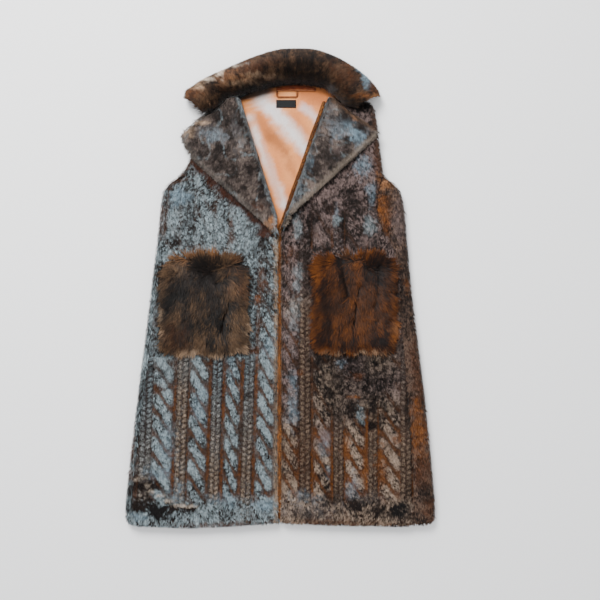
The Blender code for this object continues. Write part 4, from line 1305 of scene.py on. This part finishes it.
# The collar: one piece of the same deep pile, sewn round the back neck and rolled over, so that it stands as
# a soft arch and its free edge comes down outside the neck.
COLLAR_THICKNESS = 0.0125
COLLAR_EDGE = 0.0050
COLLAR = table(
    "neck_x neck_y free_x free_y neck_z free_z rise",
    (-146.3, 331.4, -178.6, 362.9, 21.9, 12, 8),
    (-127.3, 337.6, -177.7, 374.3, 21.9, 9, 11),
    (-112.1, 349.3, -169.1, 381.0, 21.9, 6, 13),
    (-96.9, 364.0, -150.1, 395.2, 21.9, 2, 16),
    (-70.3, 368.5, -119.7, 410.4, 21.9, 0, 19),
    (-41.8, 375.6, -83.6, 426.4, 18, 0, 24),
    (-15.2, 383.8, -41.8, 443.1, 12, 0, 28),
    (9.5, 387.9, -1.9, 454.2, 12, 0, 30),
    (32.3, 388.9, 32.3, 456.0, 12, 0, 30),
    (53.2, 387.9, 66.5, 454.2, 12, 0, 30),
    (72.2, 384.8, 102.6, 441.8, 14, 0, 28),
    (85.5, 379.5, 133.0, 425.6, 20, 0, 23),
    (95.5, 369.5, 155.8, 410.4, 21.9, 0, 19),
    (109.3, 358.3, 172.9, 393.3, 21.9, 3, 15),
    (120.7, 348.8, 183.4, 378.1, 21.9, 8, 11),
    (138.8, 343.9, 188.1, 366.7, 21.9, 12, 8),
)
COLLAR_SECTIONS = 110
COLLAR_ACROSS = 30
COLLAR_STRANDS = 44000

# Patches, as for the sides
COLLAR_PATCHES = (
    # Painted shade: the three patches below darken the collar's middle, where it stands up and its inner face
    # lies in shadow.
    ("black", 48, 424, 44, 26, 0.75),
    ("dark", 60, 396, 44, 10, 0.85),
    ("black", 14, 392, 26, 6, 0.6),
    ("brown", -60, 410, 44, 22, 0.6),
    ("beige", -64, 384, 44, 6, 0.45),
    ("beige", -34, 398, 36, 5, 0.4),
    ("tan", -96, 394, 30, 12, 0.45),
    # Painted shadow: the four black patches below darken the collar's foot on the left, where it overhangs
    # the lining.
    ("black", -72, 367, 16, 7, 1.2),
    ("black", -50, 375, 18, 7, 1.3),
    ("black", -28, 382, 18, 7, 1.3),
    ("black", -7, 388, 14, 6, 1.1),
    ("cream", -112, 404, 8, 12, 1.0),
    ("cream", -134, 392, 14, 7, 1.0),
    ("cream", -86, 418, 16, 5, 0.6),
    ("beige", -152, 380, 12, 9, 0.7),
    ("grey", -118, 420, 44, 4, 0.7),
    ("rust", -160, 366, 14, 10, 0.45),
    ("dark", -128, 376, 6, 18, 0.7),
    ("brown", -104, 386, 12, 20, 0.6),
    ("dark", -90, 366, 16, 8, 0.6),
    ("brown", 118, 400, 22, 26, 0.6),
    ("rust", 126, 392, 5, 24, 0.25),
    ("blue", 160, 392, 7, 18, 0.85),
    ("blue", 150, 412, 12, 6, 0.6),
    ("brown", 176, 380, 10, 14, 0.8),
    ("tan", 178, 360, 10, 6, 0.6),
    ("rust", 150, 362, 18, 5, 0.6),
    ("grey", 98, 372, 10, 10, 0.6),
    ("dark", 136, 374, 14, 10, 0.5),
)


def smooth(row_values, count):
    """The rows of a table read at more places, on a Catmull-Rom curve through them."""
    places = np.linspace(0, len(row_values) - 1, count)
    first = np.minimum(places.astype(int), len(row_values) - 2)
    part = (places - first)[:, None]
    before = 2 * row_values[:1] - row_values[1:2]
    after = 2 * row_values[-1:] - row_values[-2:-1]
    padded = np.concatenate([before, row_values, after])
    p0, p1, p2, p3 = (padded[first + k] for k in range(4))
    square = (2 * p0 - 5 * p1 + 4 * p2 - p3) * part**2
    return 0.5 * (2 * p1 + (p2 - p0) * part + square + (3 * p1 - p0 - 3 * p2 + p3) * part**3)


def collar_skin(depth):
    """The collar's outer skin: sections from right to left, each from the neck seam over to the free edge.

    A section's underside is half a sine, and the skin lies square to it at the thickness less depth."""
    rows = smooth(np.stack(list(COLLAR.values()), axis=-1), COLLAR_SECTIONS)[::-1]
    neck, free = rows[:, 0:2], rows[:, 2:4]
    length = np.linalg.norm(free - neck, axis=1)[:, None]
    outward = (free - neck) / length
    t = (np.sin(np.pi * (np.linspace(0, 1, COLLAR_ACROSS) - 0.5)) / 2 + 0.5)[None, :]
    run = COLLAR_EDGE + (length - 2 * COLLAR_EDGE) * t
    height = rows[:, 4:5] * (1 - t) + rows[:, 5:6] * t + rows[:, 6:7] * np.sin(np.pi * t**0.85)
    wave = 1 + 0.05 * np.sin(np.linspace(0, 26, len(rows)))[:, None] * np.sin(np.pi * t)
    slope_run, slope_height = np.gradient(run, axis=1), np.gradient(height, axis=1)
    size = np.hypot(slope_run, slope_height)
    thickness = (COLLAR_THICKNESS * (1 - 0.5 * np.abs(2 * t - 1) ** 6) - depth) * wave
    along = run - thickness * slope_height / size
    z = np.maximum(height, 0) + thickness * slope_run / size
    xy = neck[:, None, :] + outward[:, None, :] * along[:, :, None]
    return np.concatenate([xy, np.maximum(z, 0.002)[:, :, None]], axis=-1), outward


collar_form, collar_outward = collar_skin(DEEP_PILE)


def collar_dye(places, across, along, rng):
    """The collar's tips: browns in long streaks from neck to edge, patches, some of them painted shade, and a
    thin grey frosted rim.
    """
    x, y = places[:, 0], places[:, 1]
    share = 0.42 + blotches(along, across * 0.10, (1.1, 0.010, 71))
    share = share + blotches(x, y, (0.6, 0.02, 72), (0.5, 0.006, 73), (0.6, 0.003, 74))
    share = np.clip(share + 0.6 * (rng.random(len(x)) - 0.5), 0, 1)
    colours = patched(mix(tone(44, 31, 24), tone(132, 106, 84), share), x, y, COLLAR_PATCHES)
    rim = 0.6 * np.clip(1.4 - (1 - across) / 0.10 + 0.4 * (rng.random(len(x)) - 0.5), 0, 1)
    return mix(colours, TONES["grey"], rim)


collar_flat = collar_form.reshape(-1, 3)
grid_along, grid_across = np.meshgrid(
    np.linspace(0, 1, COLLAR_SECTIONS), np.linspace(0, 1, COLLAR_ACROSS), indexing="ij"
)
collar_shell_dye = collar_dye(collar_flat, grid_across.ravel(), grid_along.ravel(), rng) * 0.4
collar = cloth_shell(
    "collar_cloth",
    collar_form,
    collar_shell_dye.reshape(collar_form.shape),
    deep_underfur_finish,
)
collar_roots, collar_normals, collar_across, collar_along = plant(collar_form, COLLAR_STRANDS, rng)
section = np.minimum((collar_along * COLLAR_SECTIONS).astype(int), COLLAR_SECTIONS - 1)
collar_course = np.c_[collar_outward[section], np.zeros(COLLAR_STRANDS)]
collar_course = collar_course + rng.normal(0, 0.45, (COLLAR_STRANDS, 3))
collar_course[:, 0] += blotches(collar_roots[:, 0], collar_roots[:, 1], (1.6, 0.028, 75))
drop = np.where(collar_across > 0.45, -1.0, 0.5)[:, None] * np.array([0, 0, 1])
collar_headings = combed(collar_normals, collar_course + drop)
collar_length = rng.uniform(0.008, 0.014, COLLAR_STRANDS)
collar_seen = collar_roots + 0.6 * collar_headings * collar_length[:, None]
collar_tips = collar_dye(collar_seen, collar_across, collar_along, rng)
collar_pile = pile(
    "collar_pile",
    collar_roots,
    collar_normals,
    collar_headings,
    collar_length,
    rng.uniform(0.0009, 0.0015, COLLAR_STRANDS),
    rng.uniform(0.0026, 0.0062, COLLAR_STRANDS),
    collar_tips * 0.3,
    collar_tips,
    deep_pile_finish,
)
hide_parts("collar")


# The patch pockets: squares of long chestnut fur sewn onto the fronts. The strands hang towards the hem in
# clumps, part along a few dark lines, and spill over the edges.
POCKET_CLOTH_HEIGHT = 0.0052
POCKET_SPILL = 0.008
POCKET_BOW_X = 0.09
POCKET_BOW_Y = 0.07
POCKET_STRANDS = 19500
CLUMP = 0.011

# Dark lines where the long pile parts: start x and y, end x and y and half width in millimetres, and how
# strongly it parts
PARTINGS = {
    -1: (
        (-72, 46, -127, 15, 10, 1.0),
        (-96, -4, -110, -80, 8, 0.5),
    ),
    1: (
        (112, 66, 129, -14, 9, 1.0),
        (150, 20, 140, -70, 8, 0.4),
        (186, 40, 176, -30, 8, 0.4),
    ),
}
POCKET_DYES = {
    -1: (tone(36, 26, 17), tone(130, 106, 82)),
    1: (tone(48, 23, 5), tone(150, 99, 42)),
}

# Patches, as for the sides
POCKET_PATCHES = {
    -1: (
        ("umber", -165, 30, 34, 18, 0.85),
        ("umber", -128, 6, 24, 26, 0.8),
        ("umber", -160, 8, 22, 12, 0.5),
        ("rust", -190, -80, 22, 26, 0.25),
        ("tan", -150, 58, 60, 8, 0.5),
        ("beige", -120, -114, 70, 9, 0.75),
        ("beige", -218, -60, 8, 40, 0.5),
        ("tan", -80, 10, 14, 30, 0.25),
        ("beige", -66, -70, 10, 36, 0.45),
    ),
    1: (
        ("umber", 128, 30, 7, 40, 0.85),
        ("umber", 170, 36, 28, 8, 0.6),
        ("tan", 126, 62, 12, 10, 0.6),
        ("tan", 180, 60, 26, 7, 0.5),
        ("rust", 150, -20, 50, 50, 0.35),
        ("umber", 100, -40, 22, 40, 0.45),
        ("beige", 150, -116, 60, 9, 0.55),
        ("tan", 212, -90, 10, 30, 0.6),
    ),
}


def pocket_skin(side, height):
    """A pocket's cloth: bowed sides, round corners, soft tufts, and edges that come down to the front."""
    pocket = POCKETS[side]
    steps = np.sin(np.pi / 2 * np.linspace(-1, 1, 46))
    u, v = np.meshgrid(steps, steps)
    width = pocket["half_width"] - POCKET_SPILL - pocket["taper"] * (v + 1) / 2
    x = pocket["x"] + width * u * (1 - POCKET_BOW_X * v**6)
    y = pocket["y"] + (pocket["half_height"] - POCKET_SPILL) * v * (1 - POCKET_BOW_Y * u**6)
    crown = (1 - np.abs(u) ** 9) * (1 - np.abs(v) ** 9)
    tufts = blotches(x, y, (0.18, 0.022, 81))
    z = LAPEL_BASE + 0.0003 + height * crown * (1 + tufts)
    return np.stack([x, y, z], axis=-1)


def nearest_clump(x, y):
    """The middle of the clump that each strand leans to: its lattice cell's middle, moved by noise."""
    row = np.floor(y / (1.6 * CLUMP))
    column = np.floor(x / CLUMP + 0.5 * (row % 2))
    middle_x = (column + 0.5 - 0.5 * (row % 2)) * CLUMP
    middle_y = (row + 0.5) * 1.6 * CLUMP
    shift_x, shift_y = (blotches(middle_x, middle_y, (CLUMP, 0.003, seed)) for seed in (83, 84))
    return middle_x + shift_x, middle_y + shift_y


long_pile_finish = fur_finish("long_pile", 0.6, 0.06, grain=380)

for side, name in ((-1, "pocket_left"), (1, "pocket_right")):
    pocket = POCKETS[side]
    skin = pocket_skin(side, POCKET_CLOTH_HEIGHT)
    shell = cloth_shell(
        name + "_cloth",
        skin,
        tone(46, 28, 16),
        deep_underfur_finish,
        thickness=0.0014,
    )
    roots, normals, _, _ = plant(skin, POCKET_STRANDS, rng)
    x, y = roots[:, 0], roots[:, 1]
    off_x = (x - pocket["x"]) / pocket["half_width"]
    off_y = (y - pocket["y"]) / pocket["half_height"]
    toward_x, toward_y = nearest_clump(x, y)
    lean_x = blotches(x, y, (0.9, 0.035, 85)) + 14 * (toward_x - x)
    lean_y = 6 * (toward_y - y)
    parted = np.zeros(POCKET_STRANDS)
    for *line, half_width, strength in PARTINGS[side]:
        start_x, start_y, end_x, end_y = (value * MM for value in line)
        share, away = along_line(x, y, start_x, start_y, end_x, end_y)
        beside = np.sign((x - start_x) * (end_y - start_y) - (y - start_y) * (end_x - start_x))
        near = np.exp(-((away / (half_width * MM)) ** 2)) * (share > 0) * (share < 1) * strength
        lean_x = lean_x + 1.3 * near * beside * np.sign(end_y - start_y)
        parted = np.maximum(parted, near)
    spill = np.clip((np.abs(off_x) - 0.45) / 0.45, 0, 1) * np.sign(off_x)
    up = np.clip((off_y - 0.66 + blotches(x, y, (0.3, 0.02, 86))) / 0.2, 0, 1)
    course = np.c_[lean_x + 1.3 * spill + 0.5 * off_x * up, -1 + lean_y + 2.1 * up, np.zeros(POCKET_STRANDS)]
    course[:, :2] += rng.normal(0, 0.2, (POCKET_STRANDS, 2))
    headings = combed(np.tile([0.0, 0.0, 1.0], (POCKET_STRANDS, 1)), course)
    edge = np.maximum(np.abs(off_x), np.abs(off_y))
    share = 0.24 + blotches(x, y * 0.25, (1.4, 0.006, 87)) + blotches(x, y, (0.6, 0.03, 88))
    share = share + 0.6 * (rng.random(POCKET_STRANDS) - 0.5)
    share = np.clip(share - 0.6 * parted + 0.5 * np.clip((edge - 0.66) / 0.26, 0, 1), 0, 1)
    tips = patched(mix(*POCKET_DYES[side], share), x, y, POCKET_PATCHES[side])
    length = rng.uniform(0.016, 0.028, POCKET_STRANDS) * np.interp(edge, [0.55, 0.92], [1, 0.7])
    length = length * (0.45 + 1.1 * cloud(x, y, 0.007, 89))
    width = rng.uniform(0.0008, 0.0014, POCKET_STRANDS)
    rise = rng.uniform(0.004, 0.0105, POCKET_STRANDS) * np.interp(edge, [0.6, 0.9], [1, 0.5])
    rise = rise * (1 - 0.4 * parted)
    pocket_pile = pile(
        name + "_pile",
        roots,
        unit(normals + [0, 0, 2]),
        headings,
        length,
        width,
        rise,
        tips * 0.15,
        tips,
        long_pile_finish,
        bends=(0.3, 0.68),
        curl=rng.normal(0, 0.0012, POCKET_STRANDS),
    )
    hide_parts(name)


# The neck band: a chestnut strip over the back neck seam, with a paler turned edge at its foot, held by two
# rows of small stitches.
BAND = {"middle": 0.0304, "half_length": 0.038, "foot": 0.3765, "top": 0.3872, "drop": 0.0052}
BAND_THICKNESS = 0.0045
STITCH_LENGTH = 0.0026
STITCH_GAP = 0.0012
THREAD = 0.00045


def cloth_finish(name, rgb, second, weave, roughness):
    """Woven or suede cloth: two dyes mixed by fine threads both ways and by a broad soft noise."""
    finish = bpy.data.materials.new(name)
    finish.use_nodes = True
    tree = finish.node_tree
    shader = tree.nodes["Principled BSDF"]
    set_sockets(shader, Sheen_Weight=0.08, Specular_IOR_Level=0.2, Roughness=roughness)
    place = add_node(tree, "TexCoord")
    threads = []
    for direction in ("X", "Y"):
        wave = add_node(tree, "TexWave", Scale=weave, Distortion=0.6)
        wave.bands_direction = direction
        link(tree, place, "Object", wave, "Vector")
        threads.append(wave)
    crossed = add_node(tree, "Math")
    crossed.operation = "MAXIMUM"
    tree.links.new(threads[0].outputs["Fac"], crossed.inputs[0])
    tree.links.new(threads[1].outputs["Fac"], crossed.inputs[1])
    noise = add_node(tree, "TexNoise", Scale=140, Detail=4)
    link(tree, place, "Object", noise, "Vector")
    mixed = add_node(tree, "Math")
    mixed.operation = "MULTIPLY"
    tree.links.new(crossed.outputs["Value"], mixed.inputs[0])
    tree.links.new(noise.outputs["Fac"], mixed.inputs[1])
    ramp = add_node(tree, "ValToRGB")
    for stop, dye, position in zip(ramp.color_ramp.elements, (rgb, second), (0.15, 0.7)):
        stop.color = (*tone(*dye), 1)
        stop.position = position
    link(tree, mixed, "Value", ramp, "Fac")
    link(tree, ramp, "Color", shader, "Base Color")
    relief = add_node(tree, "Bump", Strength=0.6, Distance=0.0003)
    link(tree, mixed, "Value", relief, "Height")
    link(tree, relief, "Normal", shader, "Normal")
    return finish


def stitches(name, path, finish):
    """A row of stitches along a path: each a small six-sided bead drawn out along it, with pointed ends."""
    step = np.linalg.norm(np.diff(path, axis=0), axis=1)
    reach = np.append(0, np.cumsum(step))
    starts = np.arange(0, reach[-1] - STITCH_LENGTH, STITCH_LENGTH + STITCH_GAP)
    ends = []
    for distance in (0, STITCH_LENGTH):
        ends.append(np.stack([np.interp(starts + distance, reach, path[:, k]) for k in range(3)], axis=-1))
    run = unit(ends[1] - ends[0])
    up = np.tile([0.0, 0.0, 1.0], (len(starts), 1))
    side = unit(np.cross(run, up))
    angle = np.arange(6) * np.pi / 3
    share = np.array([0.0, 0.2, 0.5, 0.8, 1.0])
    swell = THREAD * np.sqrt(np.maximum(1 - (2 * share - 1) ** 2, 0.03))
    ring = side[:, None, None] * np.cos(angle)[:, None] + up[:, None, None] * np.sin(angle)[:, None]
    centre = ends[0][:, None] + (ends[1] - ends[0])[:, None] * share[None, :, None]
    points = centre[:, :, None] + ring * swell[None, :, None, None]
    count = len(starts)
    number = np.arange(count * 30).reshape(count, 5, 6)
    turned = np.roll(number, -1, axis=2)
    faces = np.stack([number[:, :-1], number[:, 1:], turned[:, 1:], turned[:, :-1]], axis=-1)
    faces = faces.reshape(-1, 4).tolist() + number[:, 0].tolist() + number[:, -1, ::-1].tolist()
    flat = points.reshape(-1, 3)
    around = np.tile(np.linspace(0.1, 0.9, 6), count * 5)
    along = np.repeat(np.linspace(0.05, 0.95, count * 5), 6)
    spread = np.stack([around, along], axis=-1)
    return add_piece(name, flat, faces, np.ones((len(flat), 3)), spread, finish)


band_across = np.linspace(-1, 1, 61)
band_steps = np.array([0, 0, 0.04, 0.1, 0.2, 0.24, 0.3, 0.5, 0.7, 0.85, 0.94, 1, 1])[:, None]
band_crown = np.array([0.05, 0.5, 0.85, 1.0, 0.9, 0.5, 0.62, 0.72, 0.75, 0.72, 0.62, 0.5, 0.05])[:, None]
band_x = BAND["middle"] + BAND["half_length"] * band_across
band_y = BAND["foot"] + (BAND["top"] - BAND["foot"] - BAND["drop"] * band_across**2) * band_steps
band_end = np.interp(1 - np.abs(band_across), [0, 0.03, 0.08], [0.1, 0.75, 1])
band_wave = 1 + 0.08 * np.sin(band_across * 17)
band_z = FRONT_BASE + BAND_THICKNESS * band_crown * band_end * band_wave
band_skin = np.stack([np.broadcast_to(band_x, band_z.shape), band_y, band_z], axis=-1)
band_finish = cloth_finish("chestnut_band", (108, 56, 28), (168, 100, 58), 700, 0.75)
piping_finish = cloth_finish("band_piping", (150, 96, 60), (206, 154, 112), 700, 0.75)
band = cloth_shell("neck_band_cloth", band_skin, (1, 1, 1), band_finish, thickness=0.0009)
band.data.materials.append(piping_finish)
band_faces = np.arange(len(band.data.polygons)) // (len(band_across) - 1)
band.data.polygons.foreach_set("material_index", (band_faces < 4).astype(np.int32))
thread_finish = cloth_finish("thread", (96, 52, 30), (150, 92, 56), 2500, 0.6)
upper_row = band_skin[7, 2:-2] + [0, 0.001, 0.0003]
lower_row = band_skin[5, 2:-2] + [0, 0, 0.0003]
band_stitches = stitches("neck_band_stitches", upper_row, thread_finish)
piping_stitches = stitches("neck_band_lower_stitches", lower_row, thread_finish)
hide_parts("neck_band")


# The hanger loop: a flat woven tape in a long U, sewn under the neck band at both ends.
LOOP = {"left": -0.0074, "right": 0.0345, "top": 0.3761, "foot": 0.3630, "corner": 0.0055}
TAPE_WIDTH = 0.0036
TAPE_THICKNESS = 0.0016
TAPE_EDGE = 0.0006

# The tape's section: the way in from its outer edge, and the height as a share of its thickness
TAPE_SECTION = (
    (0, 0.1),
    (0, 0.5),
    (TAPE_EDGE, 0.95),
    (TAPE_WIDTH / 2, 1),
    (TAPE_WIDTH - TAPE_EDGE, 0.95),
    (TAPE_WIDTH, 0.5),
    (TAPE_WIDTH, 0.1),
)

loop_turn = np.linspace(0, np.pi / 2, 12)
loop_lanes = []
for inset, height in TAPE_SECTION:
    radius = LOOP["corner"] - inset
    halves = []
    for end, edge in ((-1, LOOP["left"]), (1, LOOP["right"])):
        leg_y = np.linspace(LOOP["top"], LOOP["foot"] + LOOP["corner"], 5)[:-1]
        leg = np.stack([np.full(4, edge - end * inset), leg_y], axis=-1)
        arc_x = edge - end * LOOP["corner"] + end * radius * np.cos(loop_turn)
        arc_y = LOOP["foot"] + LOOP["corner"] - radius * np.sin(loop_turn)
        halves.append(np.concatenate([leg, np.stack([arc_x, arc_y], axis=-1)]))
    run = np.linspace(0, 1, 14)[1:-1, None]
    middle = halves[0][-1:] * (1 - run) + halves[1][-1:] * run
    lane = np.concatenate([halves[0], middle, halves[1][::-1]])
    loop_lanes.append(np.c_[lane, np.full(len(lane), FRONT_BASE + TAPE_THICKNESS * height)])
loop_skin = np.stack(loop_lanes, axis=1)
loop_finish = cloth_finish("tan_tape", (112, 66, 38), (186, 130, 86), 1100, 0.75)
loop = cloth_shell("hanger_loop_tape", loop_skin[::-1], (1, 1, 1), loop_finish, thickness=0.0006)
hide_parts("hanger_loop")


# The label: a small woven label in charcoal, left bare, sewn to the lining by a stitch row at each end.
LABEL = {"left": -0.0076, "right": 0.0304, "foot": 0.3445, "top": 0.3597}
LABEL_THICKNESS = 0.0012

label_share = np.array([0, 0, 0.03, 0.08, 0.2, 0.35, 0.5, 0.65, 0.8, 0.92, 0.97, 1, 1])
label_edge = np.array([0.1, 0.6, 0.95, 1, 0.9, 0.85, 0.9, 0.85, 0.9, 1, 0.95, 0.6, 0.1])
label_u, label_v = np.meshgrid(label_share, label_share)
label_x = LABEL["left"] + (LABEL["right"] - LABEL["left"]) * label_u
label_y = LABEL["foot"] + (LABEL["top"] - LABEL["foot"]) * label_v
label_z = FRONT_BASE + LABEL_THICKNESS * np.minimum(label_edge[None, :], label_edge[:, None])
label_skin = np.stack([label_x, label_y, label_z], axis=-1)
label_finish = cloth_finish("woven_label", (18, 18, 20), (44, 46, 50), 1600, 0.6)
label = cloth_shell("label_cloth", label_skin, (1, 1, 1), label_finish, thickness=0.0005)
label_thread = cloth_finish("label_thread", (20, 20, 22), (60, 60, 64), 2500, 0.6)
for number, x in enumerate((LABEL["left"] + 0.0014, LABEL["right"] - 0.0014)):
    row_y = np.linspace(LABEL["foot"] + 0.001, LABEL["top"] - 0.001, 12)
    row = np.stack([np.full(12, x), row_y, np.full(12, FRONT_BASE + LABEL_THICKNESS)], axis=-1)
    stitches(f"label_stitches_{number + 1}", row, label_thread)
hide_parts("label")
